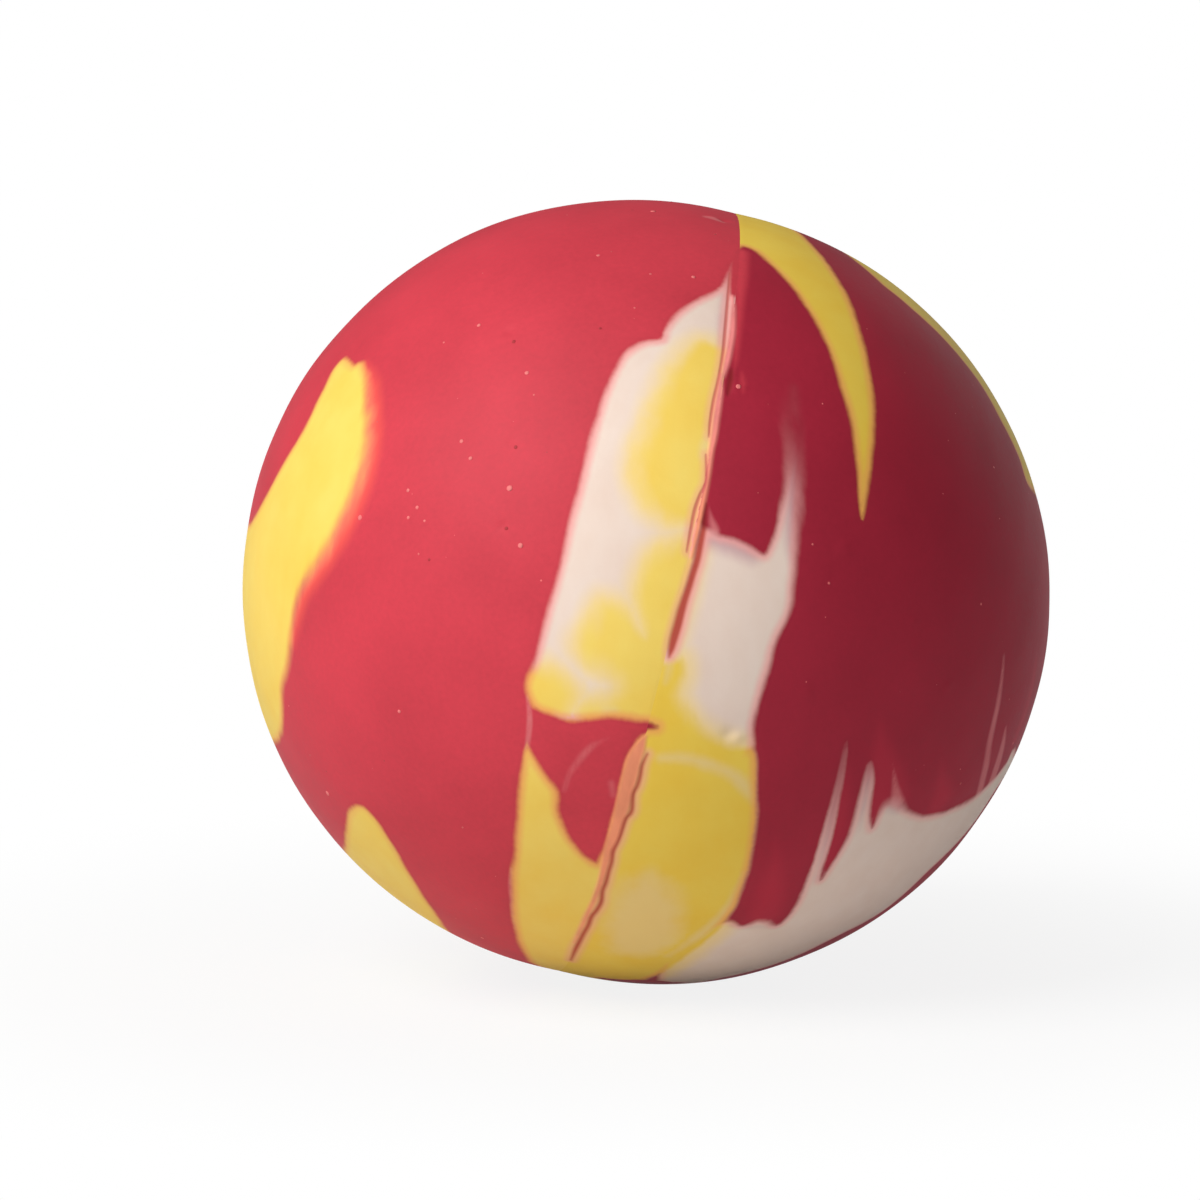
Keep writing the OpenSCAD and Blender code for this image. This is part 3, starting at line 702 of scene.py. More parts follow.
def into(lines, points):
    """Distance into the nearest of the lines in mm, negative outside."""
    return np.max([np.full(len(points), -Line.NEAR)] + [line.distance(points) for line in lines], axis=0)


def inner(held, *found):
    """Point by point, the further in of two distances, with the values that go with it."""
    more = found[0] > held[0]
    return [np.where(more, new, old) for new, old in zip(found, held)]


def waves(points, shapes):
    """Heights at the points of waves that each have a direction, waves per mm and a reach in mm."""
    return [high * np.sin(2 * math.pi * often * (points @ unit(np.array(direction))))
            for direction, often, high in shapes]


class Marbling:
    """Where each colour lies on the skin."""

    LINE_KINDS = ("red", "yellow", "cream", "pink", "ghost", "lilac", "over", "glow", "thin")
    # Waves that make the edges at the rear ragged: direction, waves per mm and reach in mm
    RAGGED = [((0.9, 0.2, -0.4), 0.17, 0.13), ((0.2, 0.8, 0.5), 0.28, 0.09),
              ((0.8, -0.5, 0.1), 0.51, 0.06), ((0.7, 0.6, -0.3), 0.83, 0.03)]
    # Softness in mm where no stretch is near, and of the lines
    FIRM, LINE_SOFT, CREAM_SOFT = 0.1, 0.12, 0.2
    # Half the width over which one half's red blends into the other's where it is pressed over it
    OVER_SOFT = 0.22

    def __init__(self, ball):
        self.ball = ball
        self.outlines = {side: {name: Outline(ball, side, *stretch) for name, stretch in stretches.items()}
                         for side, stretches in STRETCHES.items()}
        self.lines = {side: {kind: [Line(ball, rows, side) for rows in kinds.get(kind, ())]
                             for kind in self.LINE_KINDS}
                      for side, kinds in ((LEFT, LEFT_LINES_PX), (RIGHT, RIGHT_LINES_PX))}
        self.slits, self.hairlines, self.flash_tones = (
            [Line(ball, rows) for rows in lines] for lines in (SLITS_PX, HAIRLINES_PX, FLASH_TONES_PX))
        self.flash = {
            "upper_flash": Line(ball, UPPER_FLASH_PX),
            "middle_flash": Line(ball, MIDDLE_FLASH_PX),
            "lower_flash": Line(ball, LOWER_FLASH_PX, LEFT),
            "rear_flash": Line(ball, REAR_FLASH_PX),
        }

    def fields(self, points, side):
        """The distances and softnesses that the rubber's material reads, by attribute name."""
        far, firm = np.full(len(points), -Outline.NEAR), np.full(len(points), self.FIRM)
        pale, yellow, cream = [far, firm, np.zeros(len(points))], [far, firm], [far, firm]
        lines = {kind: into(lines, points) for kind, lines in self.lines[side].items()}
        red_over = []
        for name, outline in self.outlines[side].items():
            d, soft = outline.distance(points)
            if name.startswith("rear"):
                d = d + sum(waves(points, self.RAGGED))
            if outline.kind in ("yellow", "white"):
                pale = inner(pale, d, soft, outline.rim)
            if outline.kind in ("yellow", "cloud"):
                yellow = inner(yellow, d + outline.yellow_past, soft)
            if outline.kind == "veil":
                cream = inner(cream, d, soft)
            if outline.kind == "flap":
                red_over.append((-d, soft))
        for d, soft in (*red_over, (-lines["red"], self.LINE_SOFT)):
            less = d < pale[0]
            pale[:2] = np.where(less, d, pale[0]), np.where(less, soft, pale[1])
        yellow = inner(yellow, lines["yellow"], self.LINE_SOFT)
        cream = inner(cream, lines["cream"], self.CREAM_SOFT)
        own = 1 - smooth(0.5 + lines["over"] / (2 * self.OVER_SOFT))
        found = {kind + "_mm": lines[kind] for kind in ("lilac", "pink", "ghost", "glow", "thin")}
        found.update(
            side_share=own if side == RIGHT else 1 - own, pale_mm=pale[0], pale_soft=pale[1],
            rim_share=pale[2], yellow_mm=yellow[0], yellow_soft=yellow[1], cream_mm=cream[0],
            cream_soft=cream[1], slit_mm=into(self.slits, points), hair_mm=into(self.hairlines, points),
            press_mm=into(self.flash_tones, points))
        return found

    def both(self, points):
        """The fields of each point in the half that it lies in."""
        left, right = self.fields(points, LEFT), self.fields(points, RIGHT)
        in_right = points @ self.ball.axis > 0
        return {name: np.where(in_right, right[name], left[name]) for name in left}


class Skin:
    """Relief of the moulded skin: how far each point stands above or below it, in mm."""

    DROP = 0.045
    SEAM_DEPTH, SEAM_W = 0.006, 0.08
    # Lines in relief: height in mm, width in mm of the step up to it, and its height at the line's edge
    FLASH, HAIRLINE = (0.022, 0.14, 0.6), (-0.012, 0.09, 0.5)
    SLIT_EDGE = (0.2, 0.5)
    # Slow waves in the surface: direction, waves per mm and height in mm
    WAVES = [((0.8, 0.3, 0.5), 0.11, 0.012), ((-0.3, 0.9, 0.2), 0.17, 0.009),
             ((0.4, -0.5, 0.8), 0.29, 0.006), ((0.1, 0.7, -0.7), 0.43, 0.004)]
    # Pits and pimples: across, down and radius in pixels, and their heights in mm
    SPOTS_PX = front(
        (514, 343, 5), (516, 448, 4), (507, 529, 4), (843, 549, 8), (912, 623, 6), (947, 686, 6),
        (805, 693, 6), (737, 389, 7), (728, 732, 6), (737, 737, 5), (712, 219, 5), (724, 222, 6))
    SPOT_HEIGHTS = (-0.05, -0.05, -0.05, 0.035, 0.03, 0.03, 0.03, 0.05, -0.08, 0.05, 0.04, -0.05)

    def __init__(self, ball, marbling, slit_depth):
        self.ball = ball
        self.relief = ((marbling.flash_tones, *self.FLASH), (marbling.hairlines, *self.HAIRLINE),
                       (marbling.slits, -slit_depth, *self.SLIT_EDGE))
        lifted = ball.lifted(self.SPOTS_PX, RIGHT)
        self.spots = list(zip(ball.on_skin(lifted[:, :3]), lifted[:, 3], self.SPOT_HEIGHTS))

    def height(self, points):
        """Height of the skin over the moulded ball in mm, which is never above nought."""
        made = np.full(len(points), -self.DROP)
        for wave in waves(points, self.WAVES):
            made += wave
        for centre, wide, high in self.spots:
            made += high * np.exp(-((points - centre) ** 2).sum(axis=1) / wide ** 2)
        for lines, high, width, at_edge in self.relief:
            for line in lines:
                made += high * smooth(line.distance(points) / width + at_edge)
        made -= self.SEAM_DEPTH * np.exp(-(points @ self.ball.axis) ** 2 / self.SEAM_W ** 2)
        return np.minimum(made, 0)


def modelled(sizes):
    """The ball, its marbling and its skin."""
    ball = Ball(sizes)
    marbling = Marbling(ball)
    return ball, marbling, Skin(ball, marbling, sizes.slit_depth / MM)


def rings(ball, skin_step, seam_step):
    """Axial place, radius and number of points of each ring, from the parting line to the pole."""
    fine_w, growth, point_step, fewest = 0.8, 1.12, 0.105, 6
    made, t, step = [], 0.0, seam_step
    while True:
        over = max(0, t - ball.half_belt) / ball.r
        radius = ball.r * math.cos(over)
        if over > math.pi / 2 or radius < skin_step:
            return made
        axial = t if t <= ball.half_belt else ball.half_belt + ball.r * math.sin(over)
        along = min(skin_step, point_step * max(1, step / seam_step / 2))
        made.append((axial, radius, max(fewest, round(2 * math.pi * radius / along))))
        if t > fine_w:
            step = min(skin_step, step * growth)
        t += step


def revolved(ball, profile, first_end, last_end):
    """Points and triangles of a closed skin over rings, with a point on the axis at each end."""
    points, starts = [first_end * ball.axis[None, :]], []
    count = 1
    for axial, radius, n in profile:
        turn = 2 * math.pi * np.arange(n) / n
        starts.append(count)
        count += n
        points.append(axial * ball.axis + radius * (np.cos(turn)[:, None] * ball.across
                                                    + np.sin(turn)[:, None] * ball.along))
    points.append(last_end * ball.axis[None, :])
    n = profile[0][2]
    faces = [(0, starts[0] + (i + 1) % n, starts[0] + i) for i in range(n)]
    for (_, _, na), (_, _, nb), a, b in zip(profile, profile[1:], starts, starts[1:]):
        i = j = 0
        while i < na or j < nb:
            if (i + 1) * nb <= (j + 1) * na:
                faces.append((a + i % na, a + (i + 1) % na, b + j % nb))
                i += 1
            else:
                faces.append((a + i % na, b + (j + 1) % nb, b + j % nb))
                j += 1
    n = profile[-1][2]
    faces += [(count, starts[-1] + i, starts[-1] + (i + 1) % n) for i in range(n)]
    return np.vstack(points), np.array(faces)


def moulded(ball, skin, sides, skin_step, seam_step):
    """Closed mesh of one half ball, or of both, with its relief, in mm."""
    half = rings(ball, skin_step, seam_step)
    other = [(-axial, radius, n) for axial, radius, n in reversed(half)]
    pole = ball.half_belt + ball.r
    profile, first_end, last_end = {
        (LEFT,): (other, -pole, 0), (RIGHT,): (half, 0, pole),
        (LEFT, RIGHT): (other[:-1] + half, -pole, pole)}[sides]
    points, faces = revolved(ball, profile, first_end, last_end)
    # A half ball's flat face has its one point at the ball's centre, which stays there
    outer = points.any(axis=1)
    places = ball.on_skin(points[outer])
    points[outer] = places + skin.height(places)[:, None] * ball.outwards(places)
    return mesh_of("moulded", points, faces)


def mesh_of(name, points, faces):
    mesh = bpy.data.meshes.new(name)
    mesh.from_pydata([tuple(p) for p in points], [], [tuple(int(i) for i in f) for f in faces])
    mesh.update()
    return mesh


def placed(name, data):
    """A new object with this data in the scene."""
    made = bpy.data.objects.new(name, data)
    bpy.context.scene.collection.objects.link(made)
    return made


def evaluated(piece):
    """The piece's mesh with its modifiers applied."""
    graph = bpy.context.evaluated_depsgraph_get()
    return bpy.data.meshes.new_from_object(piece.evaluated_get(graph), depsgraph=graph)


def cutter(ball, ring):
    """A solid that widens from near the ball's centre to well outside it, over a ring of points."""
    inner_reach, outer_share = 1.2, 1.25
    ahead = (ring @ middle_of(ring))[:, None]
    near, far = ring / ahead * inner_reach, ring / ahead * (ball.r * outer_share)
    n = len(ring)
    caps = tessellate_polygon([[Vector(p) for p in far]])
    faces = [tuple(i + n for i in face) for face in caps]
    faces += [tuple(reversed(face)) for face in caps]
    for i in range(n):
        j = (i + 1) % n
        faces += [(i, j, n + j), (i, n + j, n + i)]
    mesh = mesh_of("cutter", np.vstack((near, far)), faces)
    shell = bmesh.new()
    shell.from_mesh(mesh)
    bmesh.ops.recalc_face_normals(shell, faces=shell.faces)
    shell.to_mesh(mesh)
    shell.free()
    return mesh


CORE_SUBDIVISIONS = 5


def core(ball, depth):
    """All that lies deeper under the skin than a depth, in mm."""
    mesh = bpy.data.meshes.new("core")
    shell = bmesh.new()
    bmesh.ops.create_icosphere(shell, subdivisions=CORE_SUBDIVISIONS, radius=ball.r - depth)
    shell.to_mesh(mesh)
    shell.free()
    return mesh


def combined(operation, first, *others):
    """The first mesh with the others cut away or kept in common, as a new mesh."""
    for other in others:
        body, tool = placed("body", first), placed("tool", other)
        cut = body.modifiers.new("cut", "BOOLEAN")
        cut.operation, cut.object, cut.solver = operation, tool, "MANIFOLD"
        first = evaluated(body)
        bpy.data.objects.remove(body)
        bpy.data.objects.remove(tool)
    return first


def common(first, *others):
    return combined("INTERSECT", first, *others)


def without(first, *others):
    return combined("DIFFERENCE", first, *others)


class Socket:
    """A value in a node tree, on which sums add Math nodes. They work in shaders and in geometry nodes."""

    def __init__(self, tree, link):
        self.tree, self.link = tree, link

    def _math(self, operation, *values):
        return self.tree.node("ShaderNodeMath", {"operation": operation}, dict(enumerate(values)))

    def __add__(self, other):
        return self._math("ADD", self, other)

    def __radd__(self, other):
        return self._math("ADD", other, self)

    def __sub__(self, other):
        return self._math("SUBTRACT", self, other)

    def __rsub__(self, other):
        return self._math("SUBTRACT", other, self)

    def __mul__(self, other):
        return self._math("MULTIPLY", self, other)

    def __rmul__(self, other):
        return self._math("MULTIPLY", other, self)

    def __truediv__(self, other):
        return self._math("DIVIDE", self, other)

    def clamped(self):
        return self.tree.node("ShaderNodeClamp", values={"Value": self})

    def eased(self):
        t = self.clamped()
        return t * t * (3 - 2 * t)


class Nodes:
    """A node tree that is written as expressions."""

    def __init__(self, tree):
        self.tree = tree

    def node(self, kind, settings=None, values=None, out=0):
        """The output of a new node, whose settings are set before the values or links of its sockets."""
        made = self.tree.nodes.new(kind)
        for name, value in (settings or {}).items():
            setattr(made, name, value)
        for name, value in (values or {}).items():
            socket = made.inputs[name]
            if isinstance(value, Socket):
                self.tree.links.new(value.link, socket)
            elif socket.type == "RGBA":
                socket.default_value = (*value, 1.0)
            else:
                socket.default_value = value
        return Socket(self, made.outputs[out]) if made.outputs else None

    def attribute(self, name):
        return self.node("ShaderNodeAttribute", {"attribute_name": name}, out="Fac")

    def place(self):
        return self.node("ShaderNodeTexCoord", out="Object")

    def mix(self, factor, a, b, blend="MIX"):
        """Colour a where the factor is 0 and colour b where it is 1."""
        return self.node("ShaderNodeMix", {"data_type": "RGBA", "blend_type": blend},
                         {"Factor": factor, 6: a, 7: b}, out=2)

    def tinted(self, tone, factors):
        """The tone with its red, green and blue multiplied."""
        return self.mix(1.0, tone, factors, "MULTIPLY")

    def noise(self, per_mm, detail, stretch=(1, 1, 1), rough=0.5):
        """Even noise about one half, with so many lumps in a millimetre."""
        place = self.node("ShaderNodeMapping", values={"Vector": self.place(), "Scale": stretch})
        return self.node("ShaderNodeTexNoise", values={
            "Vector": place, "Scale": per_mm / MM, "Detail": detail, "Roughness": rough})


def emptied(holder):
    """The node tree of a material or a world, without its first nodes."""
    holder.use_nodes = True
    holder.node_tree.nodes.clear()
    return Nodes(holder.node_tree)


# Noises in the mix: lumps in a millimetre, detail and stretch. Smears lie along the flow
NOISES = {"smear": (1.1, 3, (1, 1, 0.28)), "grain": (4.5, 3), "patches": (0.22, 2), "lumps": (0.55, 3),
          "dust": (9, 2)}
# How much each noise changes the red, the flash, and the balance of the two yellows and of the two whites
RED_MIX = {"patches": 0.3, "grain": 0.16, "lumps": 0.08}
FLASH_MIX = {"smear": 0.5}
YELLOW_MIX = {"patches": 1.4, "lumps": 1.2, "smear": 0.6}
WHITE_MIX = {"smear": 1.3, "lumps": 1}
# How far the edges of the stretches wander: with smears, in shares of their softness, and with grain, in mm
PALE_WANDER, YELLOW_WANDER = (1.3, 0.05), (1.6, 0.06)
# A veil's wandering with smears and lumps, in shares of its softness, its width in them and its strength
VEIL_SMEAR, VEIL_LUMPS, VEIL_W, VEIL_STRENGTH = 1.4, 1.6, 2.6, 0.62
# The coloured rim inside a pale stretch: grain and width in mm, share at the edge and strength
RIM_GRAIN, RIM_W, RIM_AT_EDGE, RIM_STRENGTH = 0.08, 0.4, 1.1, 0.9
# The darker red outside a pale stretch: width in mm and strength
SHADE_W, SHADE_STRENGTH = 0.32, 0.15
# Tints that follow a line or an edge: how wide they fade and how far smears move them, in mm, their share at
# the edge, their strength, and how much stronger they are in the right half and in smears
TINTS = {
    "thin": dict(follows="thin", width=1.8, strength=0.93, in_smears=0.3),
    "creamy": dict(follows="yellow", width=1.1, wander=0.5, at_edge=1, strength=0.85),
    # The slit tint lays on the slit's red with painted shade for its depth
    "slit": dict(follows="slit", width=0.22, strength=0.95),
    "slit_halo": dict(follows="slit", width=0.4, at_edge=1, strength=0.85),
    "hair": dict(follows="hair", width=0.1, at_edge=0.7, strength=0.8),
    "hair_halo": dict(follows="hair", width=0.36, at_edge=1, strength=0.75),
    "press": dict(follows="press", width=0.25),
    "glow": dict(follows="glow", width=0.9, wander=0.3, at_edge=0.55, strength=0.9, in_right=-0.35),
    "pink": dict(follows="pink", width=0.17, wander=0.1, at_edge=0.55, strength=0.5, in_smears=0.5),
    "ghost": dict(follows="ghost", width=0.28, wander=0.2, strength=0.28, in_right=0.28, in_smears=0.4),
    "lilac": dict(follows="lilac", width=0.9, wander=0.4, strength=0.8),
}
# Shares of red, green and blue in the duller and the brighter lumps, beside an edge, and of the painted
# shade that darkens a slit in the red
DULL_YELLOW, BRIGHT_YELLOW = (0.99, 0.93, 0.8), (1.01, 1.05, 1.25)
DULL_WHITE, BRIGHT_WHITE = (0.98, 0.95, 0.93), (1.02, 1.04, 1.05)
SHADED, SLIT_SHADE_IN_RED = (0.62, 0.75, 0.6), (0.52, 0.22, 0.45)
# Heights above the middle between which the flash turns from orange to pink
FLASH_TURNS_PINK = (5 * MM, 10 * MM)
# Roughness of the skin, and how much grain, slits and flash change it
ROUGHNESS, GRAIN_ROUGHER, SLIT_ROUGHER, FLASH_SMOOTHER = 0.6, 0.12, 0.2, 0.08
# Gloss, and the fine relief: strength and depth of the bump
SPECULAR, BUMP_STRENGTH, BUMP_DEPTH = 0.2, 0.35, 0.02 * MM


def raised(value, mask, amount):
    """The value with an amount more where the mask is one."""
    return value + mask * amount if amount else value


def rubber():
    """Marbled rubber: red under pale stretches, whose places come from the mesh."""
    colours = bpy.context.scene.ball_colours
    material = bpy.data.materials.new("marbled_rubber")
    n = emptied(material)
    noises = {name: n.noise(*shape) - 0.5 for name, shape in NOISES.items()}
    smear, grain, lumps = noises["smear"], noises["grain"], noises["lumps"]
    right = n.attribute("side_share")
    pale_mm, pale_soft, yellow_mm, yellow_soft, cream_mm, cream_soft = (
        n.attribute(tone + part) for tone in ("pale", "yellow", "cream") for part in ("_mm", "_soft"))

    def faded(distance, width, at_edge=0.5):
        """From 0 outside to 1 inside, over a width in mm."""
        return (at_edge + distance / width).eased()

    def shown(follows, width, wander=0, at_edge=0.5, strength=1, in_right=0, in_smears=0):
        """How much of a tint shows, by the distance from the line or the edge that it follows."""
        distance = raised(n.attribute(follows + "_mm"), smear, wander)
        return faded(distance, width, at_edge) * raised(raised(strength, right, in_right), smear, in_smears)

    def mixed(level, amounts):
        """The level with noises on it."""
        return sum((noises[name] * amount for name, amount in amounts.items()), level)

    # Where each colour shows: noises move the edges and change the strengths
    by_smear, by_grain = PALE_WANDER
    pale_edge = pale_mm + smear * pale_soft * by_smear + grain * by_grain
    by_smear, by_grain = YELLOW_WANDER
    yellow = faded(yellow_mm + smear * yellow_soft * by_smear + grain * by_grain, yellow_soft * 2)
    veil = cream_mm + (smear * VEIL_SMEAR + lumps * VEIL_LUMPS) * cream_soft
    veil = faded(veil, cream_soft * VEIL_W) * VEIL_STRENGTH
    rim = (RIM_AT_EDGE - (pale_mm + grain * RIM_GRAIN) / RIM_W).eased()
    rim = rim * n.attribute("rim_share") * RIM_STRENGTH
    shade = faded(pale_edge, SHADE_W, 1) * SHADE_STRENGTH
    tints = {name: shown(**shape) for name, shape in TINTS.items()}
    pale = faded(pale_edge, pale_soft * 2) * (1 - tints["thin"])

    deep = n.mix(right, colours.left_red, colours.right_red)
    deep = n.tinted(deep, mixed(0.98, RED_MIX))
    deep = n.mix(shade, deep, n.tinted(deep, SHADED))
    deep = n.mix(tints["glow"], deep, n.mix(right, colours.left_glow, colours.right_glow))
    deep = n.mix((tints["pink"] + tints["ghost"]).clamped(), deep, colours.pink)
    yellow_tone = n.mix(right, colours.left_yellow, colours.right_yellow)
    yellow_tone = n.mix(mixed(0.5, YELLOW_MIX).clamped(),
                        n.tinted(yellow_tone, DULL_YELLOW), n.tinted(yellow_tone, BRIGHT_YELLOW))
    white_tone = n.mix(mixed(0.5, WHITE_MIX).clamped(),
                       n.tinted(colours.white, DULL_WHITE), n.tinted(colours.white, BRIGHT_WHITE))
    white_tone = n.mix(tints["creamy"], white_tone, colours.cream)
    white_tone = n.mix(tints["lilac"], white_tone, colours.lilac)
    light = n.mix(yellow, white_tone, yellow_tone)
    light = n.mix(veil, light, colours.veil)
    halo = (tints["slit_halo"] + tints["hair_halo"]).clamped()
    light = n.mix(halo, light, n.mix(yellow, colours.blush, colours.peach))
    light = n.mix(rim.clamped(), light, n.mix(yellow, colours.blush, colours.orange))
    base = n.mix(pale, deep, light)

    height = n.node("ShaderNodeSeparateXYZ", values={0: n.place()}, out="Z")
    low, high = FLASH_TURNS_PINK
    pressed = n.mix(((height - low) / (high - low)).clamped(), colours.flash, colours.upper_flash)
    base = n.mix(tints["press"], base, n.tinted(pressed, mixed(0.98, FLASH_MIX)))
    base = n.mix(tints["hair"], base, colours.hairline)
    # Slits show the red rubber under them with painted shade for their depth, darkest where they run through
    # red
    base = n.mix(tints["slit"], base, n.mix(pale, n.tinted(colours.slit, SLIT_SHADE_IN_RED), colours.slit))

    relief = n.noise(3.2, 3, rough=0.6) * 0.7 + n.noise(0.9, 2) + noises["dust"] * 0.25
    normal = n.node("ShaderNodeBump", values={
        "Strength": BUMP_STRENGTH, "Distance": BUMP_DEPTH, "Height": relief})
    rough = (ROUGHNESS + grain * GRAIN_ROUGHER + tints["slit"] * SLIT_ROUGHER
             - tints["press"] * FLASH_SMOOTHER)
    shader = n.node("ShaderNodeBsdfPrincipled", values={
        "Base Color": base, "Roughness": rough.clamped(), "Normal": normal, "Specular IOR Level": SPECULAR})
    n.node("ShaderNodeOutputMaterial", values={"Surface": shader})
    return material


def marbled():
    """The ball's one rubber material, made when it is first wanted."""
    return bpy.data.materials.get("marbled_rubber") or rubber()


def write_fields(mesh, fields):
    for name, values in fields.items():
        mesh.attributes.new(name, "FLOAT", "POINT").data.foreach_set("value", values.astype(np.float32))


def shade_smooth(mesh):
    mesh.polygons.foreach_set("use_smooth", np.ones(len(mesh.polygons), dtype=bool))


# Edges that turn more than this stay sharp
SHARP_ANGLE = math.radians(50)


def finished(node, mesh, fields):
    """Puts a piece in the place of a CAD node: its mesh in metres, with the marbling on it."""
    write_fields(mesh, fields)
    mesh.transform(Matrix.Scale(MM, 4))
    shade_smooth(mesh)
    mesh.set_sharp_from_angle(angle=SHARP_ANGLE)
    mesh.materials.clear()
    mesh.materials.append(marbled())
    mesh.update()
    piece = placed(node + "_rubber", mesh)
    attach(piece, "root")
    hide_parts(node)


def places_of(mesh):
    points = np.empty(len(mesh.vertices) * 3, dtype=np.float32)
    mesh.vertices.foreach_get("co", points)
    return points.reshape(-1, 3).astype(float)


def make_half(side, body_node):
    """The pieces of one half ball, each cut from the moulded mesh by its outline."""
    sizes = bpy.context.scene.ball_sizes
    ball, marbling, skin = modelled(sizes)
    whole = moulded(ball, skin, (side,), sizes.skin_step / MM, sizes.seam_step / MM)
    kinds = {name: outline.kind for name, outline in marbling.outlines[side].items()}
    cutters = {name: cutter(ball, outline.points) for name, outline in marbling.outlines[side].items()}
    if side == RIGHT:
        # The wisp is a line of cream in the lobe that is wide enough to be a piece
        cutters["wisp"] = cutter(ball, marbling.lines[RIGHT]["cream"][0].edge())
        kinds["wisp"] = "veil"
    depths = {"streak": core(ball, sizes.streak_depth / MM), "cloud": core(ball, sizes.cloud_depth / MM),
              "flash": core(ball, sizes.flash_depth / MM)}
    shallow = {name: without(cutters[name], depths["cloud"]) for name in cutters}
    whole = without(whole, *(without(cutter(ball, strip.edge()), depths["flash"])
                             for strip in marbling.flash.values()))

    body = whole
    for node, (stretch, *over) in PIECES[side].items():
        slot, depth = KINDS[kinds[stretch]]
        plug = without(cutters[stretch], depths[depth])
        inlay = common(whole, plug)
        if node == "left_lower_cloud":
            # This cloud is drawn past the white band, and ends where the band does
            inlay = common(inlay, cutters["band"])
        for name in over:
            lies_on_top = KINDS[kinds[name]][1] == "cloud" and depth == "streak"
            inlay = without(inlay, shallow[name] if lies_on_top else cutters[name])
        body = without(body, plug)
        finished(node, inlay, marbling.fields(ball.on_skin(places_of(inlay)), side))
    finished(body_node, body, marbling.fields(ball.on_skin(places_of(body)), side))


class BALL_OT_left_half(bpy.types.Operator):
    """Make the left half ball and its stretches of colour"""

    bl_idname = "ball.left_half"
    bl_label = "Left half ball"

    def execute(self, context):
        make_half(LEFT, "left_body")
        return {"FINISHED"}


class BALL_OT_right_half(bpy.types.Operator):
    """Make the right half ball and its stretches of colour"""

    bl_idname = "ball.right_half"
    bl_label = "Right half ball"

    def execute(self, context):
        make_half(RIGHT, "right_body")
        return {"FINISHED"}


class BALL_OT_flash(bpy.types.Operator):
    """Make the strips of flash along the parting line"""

    bl_idname = "ball.flash"
    bl_label = "Strips of flash"

    def execute(self, context):
        sizes = context.scene.ball_sizes
        ball, marbling, skin = modelled(sizes)
        whole = moulded(ball, skin, (LEFT, RIGHT), sizes.skin_step / MM, sizes.seam_step / MM)
        under = core(ball, sizes.flash_depth / MM)
        for node, line in marbling.flash.items():
            strip = without(common(whole, cutter(ball, line.edge())), under)
            finished(node, strip, marbling.both(ball.on_skin(places_of(strip))))
        return {"FINISHED"}


def fleck_rubber():
    """Stray bits of rubber, from dark to light."""
    colours = bpy.context.scene.ball_colours
    material = bpy.data.materials.new("fleck_rubber")
    n = emptied(material)
    grain = n.noise(12, 2) - 0.5
    base = n.mix((n.attribute("tone") + grain * 0.5).clamped(), colours.dark_fleck, colours.light_fleck)
    shader = n.node("ShaderNodeBsdfPrincipled", values={
        "Base Color": base, "Roughness": (0.6 + grain * 0.2).clamped(), "Specular IOR Level": 0.3})
    n.node("ShaderNodeOutputMaterial", values={"Surface": shader})
    return material


# Steps of the coarse skin that the flecks are laid on, against those of the ball
COARSER = 5
# A fleck lies in red skin where it is this far from a pale stretch, in mm
RED_PAST = 0.2
# A fleck is a lens: sides, rings and how thick it is against its radius
LENS_SEGMENTS, LENS_RINGS, LENS_THICKNESS = 10, 5, 0.2
TONE_SEED = 3


